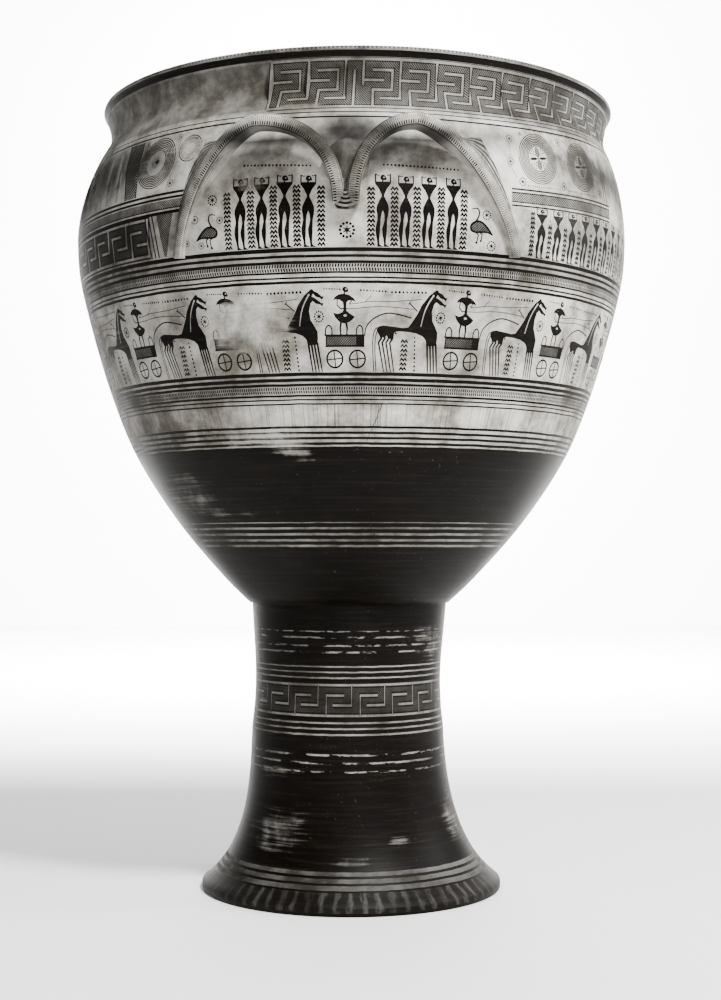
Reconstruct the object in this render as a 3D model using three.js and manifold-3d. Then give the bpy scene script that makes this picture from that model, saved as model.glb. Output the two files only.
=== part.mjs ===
// Pedestalled krater of fired clay with two double-arched strap handles.
// Millimetres and degrees, +Z up. The origin is the centre of the circle that the foot stands on.
// The handles point to -Y and +Y. The vessel is one fired piece, open above and hollow under its stem.
import * as THREE from 'three';
import { mergeVertices } from 'three/addons/utils/BufferGeometryUtils.js';
import Module from 'manifold-3d';

// Foot and stem
const footRadius = 238;
const footEdgeHeight = 13;
const footBevel = 1.5;
const footEase = 1;
const footRingWidth = 26;
const sweepRise = 244;
const sweepSpread = 66;
const stemRadius = 153.5;
const stemLength = 195;
const stemWaist = 10.5;
const stemTopRadius = 156;
const sweepEase = 2.5;
const stemTopEase = 5;
const stemWall = 18;

// Bowl, shoulder, neck and lip
const jointStep = 4;
const jointBevel = 1;
const bowlRise = 568;
const bellyRadius = 438;
const shoulderRise = 148;
const neckRadius = 396.5;
const neckRise = 57;
const neckWaist = 4;
const lipRadius = 407.5;
const lipHeight = 7;
const lipEase = 1.5;
const lipBevel = 3.5;
const bowlWall = 14;
const floorThickness = 24;
const ceilingDrop = 12;
const ceilingRounding = 14;

// Hand-made lean: how far the centre of a ring stands to +X
const stemLean = -6;
const neckLean = 10;

// Handles: feet below the belly, rise from feet to crowns, distances out from the belly,
// angles round the axis from -Y
const handleFootDrop = 76;
const archRise = 169;
const innerFullness = 2.15;
const leftArch = { footAngle: -33.3, topAngle: -16.2, innerAngle: -1.9, fullness: 1.46 };
const rightArch = { footAngle: 31.9, topAngle: 10.8, innerAngle: 0.6, fullness: 1.42 };
const handleReach = 42;
const handleFootReach = 6;
const strapDepth = 30;
const strapThickness = 18;
const strapFootThickness = 14;
const strapRounding = 4;
const legFlare = 54;
const footFlare = 22;
const crownFree = 23;
const freeBlend = 36;
const wallGrip = 6;

// Tongue in which the two arches meet over the middle of the handle
const tongueRise = 60;
const tongueFree = 30;
const tongueReachStep = 12;
const tongueAngle = -0.7;
const tongueLength = 26;
const tongueBulge = 27;

// Saddle that fills the valley between the two arches above the tongue, a little back from their faces
const saddleLift = 56;
const saddleHalfWidth = 31;
const saddleHalfHeight = 35;
const saddleBulge = 33;

// Fineness of the facets
const sides = 56;
const steps = { sweep: 6, stem: 4, bowl: 12, shoulder: 6, neck: 4 };
const innerSteps = { sweep: 4, stem: 4, bowl: 9, shoulder: 4, neck: 3 };
const archSteps = { outer: 14, inner: 10 };

// Heights that follow from the lengths above
const stemStart = footEdgeHeight + sweepRise;
const jointHeight = stemStart + stemLength;
const bellyHeight = jointHeight + bowlRise;
const neckHeight = bellyHeight + shoulderRise;
const lipStart = neckHeight + neckRise;
const rimHeight = lipStart + lipHeight;
const handleFootHeight = bellyHeight - handleFootDrop;
const handleTopHeight = handleFootHeight + archRise;
const tongueHeight = handleFootHeight + tongueRise;

const point = (radius, height) => new THREE.Vector2(radius, height);
const mix = THREE.MathUtils.lerp;
const smooth = THREE.MathUtils.smoothstep;

// The foot sweeps in and up until it has become the stem
const sweepCurve = new THREE.CubicBezierCurve(
  point(footRadius - footEase, footEdgeHeight),
  point(footRadius - sweepSpread, footEdgeHeight + sweepRise * 0.2),
  point(stemRadius + sweepEase, footEdgeHeight + sweepRise * 0.56),
  point(stemRadius, stemStart),
);

// The stem draws in to a soft waist and opens again under the bowl
const stemCurve = new THREE.CubicBezierCurve(
  point(stemRadius, stemStart),
  point(stemRadius - stemWaist, stemStart + stemLength * 0.36),
  point(stemTopRadius - stemTopEase, stemStart + stemLength * 0.63),
  point(stemTopRadius, jointHeight - jointBevel),
);

// The bowl's swell, as shares of the way from the stem joint out and up to the belly
const bowlSwell = [[0, 0], [0.15, 0.071], [0.418, 0.224], [0.658, 0.405], [0.808, 0.583], [0.925, 0.775],
  [0.986, 0.905], [1, 1]];
const bowlStart = stemTopRadius + jointStep;
const bowlCurve = new THREE.SplineCurve(bowlSwell.map(([out, up]) => (
  point(mix(bowlStart, bellyRadius, out), mix(jointHeight, bellyHeight, up)))));

// The shoulder turns in from the belly to the neck
const shoulderCurve = new THREE.CubicBezierCurve(
  point(bellyRadius, bellyHeight),
  point(bellyRadius, bellyHeight + shoulderRise * 0.4),
  point(mix(neckRadius, bellyRadius, 0.47), bellyHeight + shoulderRise * 0.82),
  point(neckRadius, neckHeight),
);

// The low neck is drawn in a little and flares to the lip
const neckCurve = new THREE.CubicBezierCurve(
  point(neckRadius, neckHeight),
  point(neckRadius - neckWaist, neckHeight + neckRise * 0.2),
  point(neckRadius - neckWaist, neckHeight + neckRise * 0.55),
  point(lipRadius - lipEase, lipStart),
);

// Points of a curve moved in towards the axis by the wall, square to the curve
function innerFace(curve, count, wall) {
  const face = [];
  for (let i = 0; i <= count; i += 1) {
    const along = curve.getPointAt(i / count);
    const heading = curve.getTangentAt(i / count);
    face.push(point(along.x - heading.y * wall, along.y + heading.x * wall));
  }
  return face;
}

function outerFace() {
  return [
    point(footRadius - footBevel, 0),
    point(footRadius, footEdgeHeight / 2),
    ...sweepCurve.getSpacedPoints(steps.sweep),
    ...stemCurve.getSpacedPoints(steps.stem).slice(1),
    ...bowlCurve.getSpacedPoints(steps.bowl),
    ...shoulderCurve.getSpacedPoints(steps.shoulder).slice(1),
    ...neckCurve.getSpacedPoints(steps.neck).slice(1),
    point(lipRadius, lipStart + lipHeight * 0.4),
    point(lipRadius - lipBevel, rimHeight),
  ];
}

// Inside of the bowl, from the lip down to the middle of its floor
function bowlInside() {
  const ceiling = jointHeight - ceilingDrop;
  const floor = ceiling + floorThickness;
  const wallDown = [
    ...innerFace(bowlCurve, innerSteps.bowl, bowlWall),
    ...innerFace(shoulderCurve, innerSteps.shoulder, bowlWall).slice(1),
    ...innerFace(neckCurve, innerSteps.neck, bowlWall).slice(1, -1),
  ].filter((p) => p.y > floor).reverse();
  return [point(lipRadius - bowlWall, rimHeight - jointBevel), ...wallDown, point(0, floor)];
}

// Hollow under the stem, from its ceiling on the axis down to the standing ring of the foot
function stemInside() {
  const ceiling = jointHeight - ceilingDrop;
  const upTheFoot = innerFace(sweepCurve, innerSteps.sweep, stemWall).filter((p) => p.y > footEdgeHeight);
  const springing = ceiling - ceilingRounding;
  const upTheStem = innerFace(stemCurve, innerSteps.stem, stemWall).slice(1).filter((p) => p.y < springing);
  const roof = point(stemTopRadius - stemWall - ceilingRounding, ceiling - ceilingRounding * 0.3);
  return [point(0, ceiling), roof, ...upTheStem.reverse(), ...upTheFoot.reverse(),
    point(footRadius - footRingWidth, 0)];
}

// Where the centre of a ring at this height stands
const leanCurve = [[0, 0], [stemStart, stemLean], [jointHeight + bowlRise * 0.4, 0], [bellyHeight, 0],
  [rimHeight, neckLean]];
function leanAt(height) {
  const next = leanCurve.findIndex(([top]) => height <= top);
  if (next <= 0) return next === 0 ? 0 : neckLean;
  const [low, leanLow] = leanCurve[next - 1];
  const [high, leanHigh] = leanCurve[next];
  return mix(leanLow, leanHigh, smooth(height, low, high));
}

// The body as one closed lathe shape
function bodyGeometry() {
  const profile = [...stemInside(), ...outerFace(), ...bowlInside()];
  const geometry = new THREE.LatheGeometry(profile, sides);
  geometry.rotateX(Math.PI / 2);
  return geometry;
}

// Radius of the outside wall at a height, for what is luted onto it
const wallLine = outerFace();
function wallRadiusAt(height) {
  const next = wallLine.findIndex((p) => p.y >= height);
  const high = wallLine[next];
  const low = wallLine[next - 1];
  return mix(low.x, high.x, (height - low.y) / (high.y - low.y));
}

// A quarter of a rounded arch: share out and share up at turn 0 (springing) to 1 (crown)
function quarterArch(turn, fullness) {
  const angle = turn * Math.PI / 2;
  return [Math.cos(angle) ** (2 / fullness), Math.sin(angle) ** (2 / fullness)];
}

// Stations along one arch, from its outer foot over the crown and down into the tongue
function archStations(arch) {
  const topRadius = bellyRadius + handleReach;
  const footReach = bellyRadius + handleFootReach;
  const stations = [];
  for (let i = 0; i <= archSteps.outer; i += 1) {
    const [out, up] = quarterArch(i / archSteps.outer, arch.fullness);
    const height = mix(handleFootHeight, handleTopHeight, up);
    const held = 1 - smooth(height, handleTopHeight - crownFree - freeBlend, handleTopHeight - crownFree);
    stations.push({
      angle: mix(arch.topAngle, arch.footAngle, out),
      height,
      front: mix(footReach, topRadius, up ** 1.6),
      half: mix(strapFootThickness, strapThickness, Math.min(1, up * 1.3)) / 2,
      flare: mix(footFlare, legFlare, Math.min(1, up * 1.6)) * held ** 0.6,
      held,
    });
  }
  for (let i = 1; i <= archSteps.inner; i += 1) {
    const [out, up] = quarterArch(1 - i / archSteps.inner, innerFullness);
    const height = mix(tongueHeight, handleTopHeight, up);
    stations.push({
      angle: mix(arch.topAngle, arch.innerAngle, out),
      height,
      front: mix(footReach + tongueReachStep, topRadius, Math.min(1, up * 2) ** 0.6),
      half: strapThickness / 2,
      flare: 0,
      held: 1 - smooth(height, tongueHeight + tongueFree, tongueHeight + tongueFree + freeBlend),
    });
  }
  return stations;
}

// A place on the round handle surface: distance round at the handle's reach, height, radius
function onHandle(round, height, radius) {
  const angle = round / (bellyRadius + handleReach);
  return [radius * Math.sin(angle), -radius * Math.cos(angle), height];
}

// Closed strap that follows one arch. Its outer side is the one away from the arch's opening.
function strapGeometry(arch) {
  const stations = archStations(arch);
  const roundAt = (s) => THREE.MathUtils.degToRad(s.angle) * (bellyRadius + handleReach);
  const side = Math.sign(arch.footAngle);
  const sections = stations.map((s, i) => {
    const before = stations[Math.max(i - 1, 0)];
    const after = stations[Math.min(i + 1, stations.length - 1)];
    const run = roundAt(after) - roundAt(before);
    const heading = new THREE.Vector2(run, after.height - before.height).normalize();
    const outward = new THREE.Vector2(heading.y, -heading.x).multiplyScalar(side);
    const { half } = s;
    const place = (aside, radius) => (
      onHandle(roundAt(s) + outward.x * aside, s.height + outward.y * aside, radius));
    const backAt = (aside) => {
      const wall = wallRadiusAt(s.height + outward.y * aside) - wallGrip;
      return mix(s.front - strapDepth, wall, s.held);
    };
    return [
      place(-half, s.front - strapRounding),
      place(-half + strapRounding, s.front),
      place(half - strapRounding, s.front),
      place(half, s.front - strapRounding),
      place(half + s.flare, backAt(half + s.flare)),
      place(0, backAt(0)),
      place(-half, backAt(-half)),
    ];
  });
  const corners = sections[0].length;
  const faces = [];
  for (let i = 0; i + 1 < stations.length; i += 1) {
    for (let j = 0; j < corners; j += 1) {
      const a = i * corners + j;
      const b = i * corners + ((j + 1) % corners);
      faces.push([a, b, b + corners], [a, b + corners, a + corners]);
    }
  }
  const last = (stations.length - 1) * corners;
  for (let j = 1; j + 1 < corners; j += 1) {
    faces.push([0, j + 1, j], [last, last + j, last + j + 1]);
  }
  const geometry = new THREE.BufferGeometry();
  geometry.setAttribute('position', new THREE.Float32BufferAttribute(sections.flat(2), 3));
  geometry.setIndex(faces.flat());
  return geometry;
}

// Volume inside a closed mesh, negative when its faces point in
function signedVolume(geometry) {
  const at = geometry.getAttribute('position');
  const index = geometry.getIndex();
  const [a, b, c] = [new THREE.Vector3(), new THREE.Vector3(), new THREE.Vector3()];
  let volume = 0;
  for (let i = 0; i < index.count; i += 3) {
    a.fromBufferAttribute(at, index.getX(i));
    b.fromBufferAttribute(at, index.getX(i + 1));
    c.fromBufferAttribute(at, index.getX(i + 2));
    volume += a.dot(b.cross(c)) / 6;
  }
  return volume;
}

const wasm = await Module();
wasm.setup();

function toSolid(geometry) {
  geometry.deleteAttribute('normal');
  geometry.deleteAttribute('uv');
  const merged = mergeVertices(geometry, 1e-3);
  const triVerts = [];
  const index = merged.getIndex().array;
  const turned = signedVolume(merged) < 0;
  for (let i = 0; i < index.length; i += 3) {
    const [a, b, c] = [index[i], index[i + 1], index[i + 2]];
    if (a !== b && b !== c && c !== a) triVerts.push(...(turned ? [a, c, b] : [a, b, c]));
  }
  return new wasm.Manifold(new wasm.Mesh({
    numProp: 3,
    vertProperties: new Float32Array(merged.getAttribute('position').array),
    triVerts: new Uint32Array(triVerts),
  }));
}

// The rounded end of the tongue, half sunk in the wall
function tongueSolid(turn) {
  const angle = THREE.MathUtils.degToRad(tongueAngle);
  const height = tongueHeight + tongueLength * 0.55;
  const span = THREE.MathUtils.degToRad(rightArch.innerAngle - leftArch.innerAngle) * bellyRadius;
  const end = new THREE.SphereGeometry(1, 14, 10);
  end.scale((span + strapThickness) / 2, tongueBulge, tongueLength);
  end.translate(0, -(wallRadiusAt(height) - 1), height);
  end.rotateZ(angle + turn);
  return toSolid(end);
}

// The rounded web between the two arches
function saddleSolid(turn) {
  const web = new THREE.SphereGeometry(1, 14, 8);
  web.scale(saddleHalfWidth, saddleBulge, saddleHalfHeight);
  web.translate(0, -(wallRadiusAt(tongueHeight + saddleLift) - 1), tongueHeight + saddleLift);
  web.rotateZ(THREE.MathUtils.degToRad(tongueAngle) + turn);
  return toSolid(web);
}

// One double-arched handle, on the -Y side or turned round to +Y
function handleSolid(turn) {
  const straps = [leftArch, rightArch].map((arch) => {
    const geometry = strapGeometry(arch);
    geometry.rotateZ(turn);
    return toSolid(geometry);
  });
  return straps[0].add(straps[1]).add(tongueSolid(turn)).add(saddleSolid(turn));
}

// The finished piece: luted together, then leaning as it left the kiln
function kraterGeometry() {
  const fired = toSolid(bodyGeometry()).add(handleSolid(0)).add(handleSolid(Math.PI));
  const { vertProperties, triVerts } = fired.getMesh();
  const place = new Float32Array(vertProperties);
  for (let i = 0; i < place.length; i += 3) {
    place[i] += leanAt(place[i + 2]);
  }
  const geometry = new THREE.BufferGeometry();
  geometry.setAttribute('position', new THREE.BufferAttribute(place, 3));
  geometry.setIndex(new THREE.BufferAttribute(new Uint32Array(triVerts), 1));
  return geometry;
}

const clay = new THREE.MeshStandardMaterial({ color: 0x6b6358, roughness: 0.62, metalness: 0 });
const krater = new THREE.Mesh(kraterGeometry(), clay);
krater.name = 'krater';

const model = new THREE.Group();
model.add(krater);
export default model;
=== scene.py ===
import random
from bisect import bisect_right
from math import asin, atan2, cos, degrees, hypot, pi, radians, sin

import bpy
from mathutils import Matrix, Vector
from mathutils.geometry import delaunay_2d_cdt


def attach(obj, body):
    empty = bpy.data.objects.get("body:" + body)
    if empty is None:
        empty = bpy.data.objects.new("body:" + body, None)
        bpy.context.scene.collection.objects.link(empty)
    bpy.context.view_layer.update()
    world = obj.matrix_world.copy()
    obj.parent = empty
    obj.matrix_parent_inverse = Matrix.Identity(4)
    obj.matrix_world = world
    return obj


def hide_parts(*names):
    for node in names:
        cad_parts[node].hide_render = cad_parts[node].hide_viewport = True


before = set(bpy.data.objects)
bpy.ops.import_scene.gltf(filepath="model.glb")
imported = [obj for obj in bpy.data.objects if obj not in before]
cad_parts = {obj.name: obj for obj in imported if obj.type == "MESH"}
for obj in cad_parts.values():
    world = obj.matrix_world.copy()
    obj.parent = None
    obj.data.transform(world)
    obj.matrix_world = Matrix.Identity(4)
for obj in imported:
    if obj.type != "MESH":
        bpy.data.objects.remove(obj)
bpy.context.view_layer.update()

# Pedestalled krater with painted bands and figures.
# Values are in millimetres and degrees, and MM turns them to metres where points are made.
MM = 0.001

# Foot and stem, as in the frame
FOOT_RADIUS = 238
FOOT_EDGE = 13
FOOT_RING_WIDTH = 26
SWEEP_RISE = 244
SWEEP_SPREAD = 66
STEM_RADIUS = 153.5
STEM_LENGTH = 195
STEM_WAIST = 10.5
STEM_TOP_RADIUS = 156
STEM_WALL = 18

# Bowl, shoulder, neck and lip
JOINT_STEP = 4
BOWL_RISE = 568
BELLY_RADIUS = 438
SHOULDER_RISE = 148
NECK_RADIUS = 396.5
NECK_RISE = 57
NECK_WAIST = 4
LIP_RADIUS = 407.5
LIP_HEIGHT = 7
BOWL_WALL = 14
FLOOR_HEIGHT = 464
CEILING_HEIGHT = 440

STEM_START = FOOT_EDGE + SWEEP_RISE
JOINT_HEIGHT = STEM_START + STEM_LENGTH
BELLY_HEIGHT = JOINT_HEIGHT + BOWL_RISE
NECK_HEIGHT = BELLY_HEIGHT + SHOULDER_RISE
LIP_START = NECK_HEIGHT + NECK_RISE
RIM_HEIGHT = LIP_START + LIP_HEIGHT

# How far the centre of a ring stands to +X, at heights going up
LEAN = [(0, 0), (STEM_START, -6), (JOINT_HEIGHT + BOWL_RISE * 0.4, 0), (BELLY_HEIGHT, 0),
        (RIM_HEIGHT, 10)]

# Columns round the body, and the zones of the wall that are painted with figures
COLUMNS = 180
STEM_KEY_ZONE = (280.6, 333.4)
FRIEZE_ZONE = (782.0, 899.6)
SHOULDER_ZONE = (947.0, 1216.6)
ZONES = [STEM_KEY_ZONE, FRIEZE_ZONE, SHOULDER_ZONE]

# Handles
HANDLE_FOOT = 944
HANDLE_TOP = 1113
TONGUE_HEIGHT = 1004
INNER_FULLNESS = 2.15
LEFT_ARCH = {"foot": -33.3, "top": -16.2, "inner": -1.9, "fullness": 1.46}
RIGHT_ARCH = {"foot": 31.9, "top": 10.8, "inner": 0.6, "fullness": 1.42}
HANDLE_REACH = 42
HANDLE_FOOT_REACH = 6
STRAP_DEPTH = 30
STRAP_THICKNESS = 18
STRAP_FOOT_THICKNESS = 14
STRAP_ROUNDING = 4
LEG_FLARE = 54
FOOT_FLARE = 22
LEG_FREE_FROM = 1090
FREE_BLEND = 36
WALL_GRIP = 6
TONGUE_ANGLE = -0.7
TONGUE_FREE_FROM = 1034
TONGUE_LENGTH = 26
TONGUE_BULGE = 27
TONGUE_REACH_STEP = 12
SADDLE_LIFT = 56
SADDLE_HALF_WIDTH = 31
SADDLE_HALF_HEIGHT = 35
SADDLE_BULGE = 33

# What a painted face is, read by the material
BANDS, GLAZE, CLAY, HATCH, HATCH_BACK, WASH, DENSE = 0, 1, 2, 3, 4, 5, 6

# The surfaces of a handle, as its map marks them for the material
FACE, FLANK, SIDE, BACK, TONGUE, SADDLE = 2, 3, 4, 5, 6.5, 8.5

rng = random.Random(15)


def mix(a, b, t):
    return a + (b - a) * t


def smooth(value, low, high):
    t = min(max((value - low) / (high - low), 0), 1)
    return t * t * (3 - 2 * t)


def bezier(points, count):
    """Points along one cubic curve, both ends among them."""
    (ax, ay), (bx, by), (cx, cy), (dx, dy) = points
    made = []
    for i in range(count + 1):
        t = i / count
        s = 1 - t
        weights = (s ** 3, 3 * s * s * t, 3 * s * t * t, t ** 3)
        made.append((sum(w * v for w, v in zip(weights, (ax, bx, cx, dx))),
                     sum(w * v for w, v in zip(weights, (ay, by, cy, dy)))))
    return made


def flowing(points, steps, closed=False):
    """A smooth line through the points, with some steps to each stretch."""
    count = len(points)
    stretches = count if closed else count - 1
    made = []
    for i in range(stretches):
        if closed:
            p = [points[(i + k) % count] for k in (-1, 0, 1, 2)]
        else:
            p = [points[min(max(i + k, 0), count - 1)] for k in (-1, 0, 1, 2)]
        for k in range(steps):
            t = k / steps
            made.append(tuple(0.5 * (2 * p[1][j] + (p[2][j] - p[0][j]) * t
                                     + (2 * p[0][j] - 5 * p[1][j] + 4 * p[2][j] - p[3][j]) * t * t
                                     + (3 * p[1][j] - p[0][j] - 3 * p[2][j] + p[3][j]) * t ** 3)
                              for j in (0, 1)))
    if not closed:
        made.append(points[-1])
    return made


# The outside of the body

def outer_line():
    """The outside profile, (radius, height) from the foot up to the lip, finely stepped."""
    swell = [(0, 0), (0.15, 0.071), (0.418, 0.224), (0.658, 0.405), (0.808, 0.583), (0.925, 0.775),
             (0.986, 0.905), (1, 1)]
    bowl_start = STEM_TOP_RADIUS + JOINT_STEP
    sweep = bezier([(FOOT_RADIUS - 1, FOOT_EDGE),
                    (FOOT_RADIUS - SWEEP_SPREAD, FOOT_EDGE + SWEEP_RISE * 0.2),
                    (STEM_RADIUS + 2.5, FOOT_EDGE + SWEEP_RISE * 0.56),
                    (STEM_RADIUS, STEM_START)], 40)
    stem = bezier([(STEM_RADIUS, STEM_START),
                   (STEM_RADIUS - STEM_WAIST, STEM_START + STEM_LENGTH * 0.36),
                   (STEM_TOP_RADIUS - 5, STEM_START + STEM_LENGTH * 0.63),
                   (STEM_TOP_RADIUS, JOINT_HEIGHT - 1)], 30)
    bowl = flowing([(mix(bowl_start, BELLY_RADIUS, out), mix(JOINT_HEIGHT, BELLY_HEIGHT, up))
                    for out, up in swell], 14)
    shoulder = bezier([(BELLY_RADIUS, BELLY_HEIGHT), (BELLY_RADIUS, BELLY_HEIGHT + SHOULDER_RISE * 0.4),
                       (mix(NECK_RADIUS, BELLY_RADIUS, 0.47), BELLY_HEIGHT + SHOULDER_RISE * 0.82),
                       (NECK_RADIUS, NECK_HEIGHT)], 30)
    neck = bezier([(NECK_RADIUS, NECK_HEIGHT),
                   (NECK_RADIUS - NECK_WAIST, NECK_HEIGHT + NECK_RISE * 0.2),
                   (NECK_RADIUS - NECK_WAIST, NECK_HEIGHT + NECK_RISE * 0.55),
                   (LIP_RADIUS - 1.5, LIP_START)], 20)
    return sweep + stem[1:] + bowl + shoulder[1:] + neck[1:]


WALL = outer_line()
WALL_HEIGHTS = [height for radius, height in WALL]


def wall_radius(height):
    """Radius of the outside at a height."""
    at = min(max(bisect_right(WALL_HEIGHTS, height), 1), len(WALL) - 1)
    (r0, z0), (r1, z1) = WALL[at - 1], WALL[at]
    return mix(r0, r1, (height - z0) / (z1 - z0))


def on_wall(angle, height):
    """A point on the outside wall, in metres. Angle 0 faces -Y and turns towards +X."""
    radius = wall_radius(height) * MM
    turn = radians(angle)
    return (radius * sin(turn), -radius * cos(turn), height * MM)


def body_profile():
    """The closed profile from the stem's hollow, round the foot and lip, to the bowl's floor."""
    outside = [(FOOT_RADIUS - 1.5, 0), (FOOT_RADIUS - 0.3, 1.5), (FOOT_RADIUS, FOOT_EDGE / 2),
               (FOOT_RADIUS - 0.4, FOOT_EDGE - 1.5)]
    rows = list(range(20, 76, 8)) + list(range(84, int(LIP_START), 14))
    rows += [z for zone in ZONES for z in zone]
    rows += [JOINT_HEIGHT - 1, JOINT_HEIGHT, LIP_START - 5]
    kept = [z for z in sorted(rows) if not any(low < z < high for low, high in ZONES)]
    outside += [(wall_radius(z), z) for z in [FOOT_EDGE] + kept]
    lip = [(LIP_RADIUS - 1.5, LIP_START), (LIP_RADIUS - 0.2, LIP_START + 1.4),
           (LIP_RADIUS, LIP_START + 3), (LIP_RADIUS - 1, LIP_START + 5.2),
           (LIP_RADIUS - 3.5, LIP_START + 6.7), (LIP_RADIUS - 6, RIM_HEIGHT),
           (LIP_RADIUS - 10.5, RIM_HEIGHT - 0.2), (LIP_RADIUS - BOWL_WALL, RIM_HEIGHT - 1.4)]
    inside = [(wall_radius(z) - BOWL_WALL, z) for z in range(int(RIM_HEIGHT) - 9, 870, -16)]
    for z in list(range(860, 500, -24)) + [490, 480]:
        slope = (wall_radius(z + 8) - wall_radius(z - 8)) / 16
        inside.append((wall_radius(z) - BOWL_WALL * hypot(1, slope), z + 4 * slope))
    inside = [p for p in inside if p[1] > FLOOR_HEIGHT + 14]
    rim = inside[-1][0]
    inside += [(rim * 0.82, FLOOR_HEIGHT + 8), (rim * 0.6, FLOOR_HEIGHT + 3.5),
               (rim * 0.3, FLOOR_HEIGHT + 0.8)]
    core = STEM_TOP_RADIUS - STEM_WALL
    hollow = [(core - 60, CEILING_HEIGHT - 0.5), (core - 14, CEILING_HEIGHT - 4),
              (core - 3, CEILING_HEIGHT - 14)]
    hollow += [(wall_radius(z) - STEM_WALL, z) for z in range(410, 130, -20)]
    hollow += [(wall_radius(z) - STEM_WALL * (1 + (130 - z) / 190), z - 4) for z in (112, 92, 72, 54, 38)]
    hollow += [(FOOT_RADIUS - FOOT_RING_WIDTH - 8, 14), (FOOT_RADIUS - FOOT_RING_WIDTH, 0)]
    return [(0, CEILING_HEIGHT)] + hollow + outside + lip + inside + [(0, FLOOR_HEIGHT)]


# Working on meshes as by hand

def only(*objects):
    """These objects and nothing else are selected, the first one active."""
    if bpy.context.mode != "OBJECT":
        bpy.ops.object.mode_set(mode="OBJECT")
    bpy.ops.object.select_all(action="DESELECT")
    for piece in objects:
        piece.select_set(True)
    bpy.context.view_layer.objects.active = objects[0]


def edit(select="SELECT"):
    bpy.ops.object.mode_set(mode="EDIT")
    bpy.ops.mesh.select_mode(type="VERT")
    bpy.ops.mesh.select_all(action=select)


def leave_edit():
    bpy.ops.object.mode_set(mode="OBJECT")


def turned_body():
    """The body thrown by spinning its profile, open where the painted zones go in."""
    bpy.ops.object.select_all(action="DESELECT")
    profile = body_profile()
    bpy.ops.mesh.primitive_plane_add(size=0.01, location=(0, 0, 0))
    body = bpy.context.object
    body.name = "painted_krater"
    edit()
    bpy.ops.mesh.merge(type="CENTER")
    start = profile[0]
    bpy.ops.transform.translate(value=(start[0] * MM, 0, start[1] * MM))
    for (r0, z0), (r1, z1) in zip(profile, profile[1:]):
        step = ((r1 - r0) * MM, 0, (z1 - z0) * MM)
        bpy.ops.mesh.extrude_region_move(TRANSFORM_OT_translate={"value": step})
    bpy.ops.mesh.select_all(action="SELECT")
    bpy.ops.mesh.spin(steps=COLUMNS, angle=2 * pi, center=(0, 0, 0), axis=(0, 0, 1))
    bpy.ops.mesh.select_all(action="SELECT")
    bpy.ops.mesh.remove_doubles(threshold=0.00002)
    bpy.ops.mesh.select_all(action="DESELECT")
    leave_edit()
    for face in body.data.polygons:
        face.select = spans_zone(body.data, face)
    bpy.ops.object.mode_set(mode="EDIT")
    bpy.ops.mesh.select_mode(type="FACE")
    bpy.ops.mesh.delete(type="FACE")
    leave_edit()
    return body


def spans_zone(mesh, face):
    """True for the plain faces that run from the lower edge of a painted zone to its upper edge."""
    heights = [mesh.vertices[v].co.z / MM for v in face.vertices]
    return any(abs(min(heights) - low) < 0.05 and abs(max(heights) - high) < 0.05 for low, high in ZONES)


# Painted shapes, as (paint, outline) in millimetres along the wall and up

def disc(x, z, radius, paint=GLAZE, sides=8, flat=1.0):
    return (paint, [(x + radius * cos(2 * pi * i / sides) * flat,
                     z + radius * sin(2 * pi * i / sides)) for i in range(sides)])


def box(x0, z0, x1, z1, paint=GLAZE):
    return (paint, [(x0, z0), (x1, z0), (x1, z1), (x0, z1)])


def stroke(points, width, paint=GLAZE, end_width=None):
    """A brush line along the points, with its width and, if it tapers, its width at the end."""
    last = width if end_width is None else end_width
    runs = []
    for (x0, z0), (x1, z1) in zip(points, points[1:]):
        long = hypot(x1 - x0, z1 - z0) or 1
        runs.append(((x1 - x0) / long, (z1 - z0) / long))
    left, right = [], []
    for i, (x, z) in enumerate(points):
        before = runs[max(i - 1, 0)]
        after = runs[min(i, len(runs) - 1)]
        bend = max(1 + before[0] * after[0] + before[1] * after[1], 0.5)
        half = mix(width, last, i / (len(points) - 1)) / 2
        across = (-(before[1] + after[1]) / bend * half, (before[0] + after[0]) / bend * half)
        left.append((x + across[0], z + across[1]))
        right.append((x - across[0], z - across[1]))
    return (paint, left + right[::-1])


def filled(points, paint=GLAZE, steps=3):
    """A flowing closed shape."""
    return (paint, flowing(points, steps, closed=True))


def moved(shapes, x, z, scale=1.0, mirror=False):
    side = -scale if mirror else scale
    return [(paint, [(x + px * side, z + pz * scale) for px, pz in outline]) for paint, outline in shapes]


def rosette(radius, petals=12):
    """A ring of dots round a small star."""
    shapes = [disc(radius * 0.84 * cos(2 * pi * i / petals), radius * 0.84 * sin(2 * pi * i / petals),
                   radius * 0.185, sides=6) for i in range(petals)]
    shapes.append(disc(0, 0, radius * 0.27, sides=8))
    for i in range(6):
        a = 2 * pi * (i + 0.5) / 6
        shapes.append(stroke([(radius * 0.2 * cos(a), radius * 0.2 * sin(a)),
                              (radius * 0.5 * cos(a), radius * 0.5 * sin(a))], radius * 0.16))
    return shapes


def dots(x0, z0, x1, z1, pitch, radius):
    """A row of dots from one point to another."""
    count = max(int(round(hypot(x1 - x0, z1 - z0) / pitch)), 1)
    return [disc(mix(x0, x1, i / count), mix(z0, z1, i / count), radius * rng.uniform(0.8, 1.15), sides=6)
            for i in range(count + 1)]


def chevrons(x, low, high, width, rise):
    """A column of small double zigzags."""
    shapes = []
    count = max(int((high - low) / rise), 1)
    for i in range(count):
        z = low + i * (high - low) / count
        tilt = rng.uniform(-0.4, 0.4)
        tops = [(-0.5, 0), (-0.25, 0.66), (0, 0.1), (0.25, 0.66), (0.5, 0)]
        shapes.append(stroke([(x + a * width, z + b * rise + a * tilt) for a, b in tops],
                             rise * rng.uniform(0.36, 0.48)))
    return shapes


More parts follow.
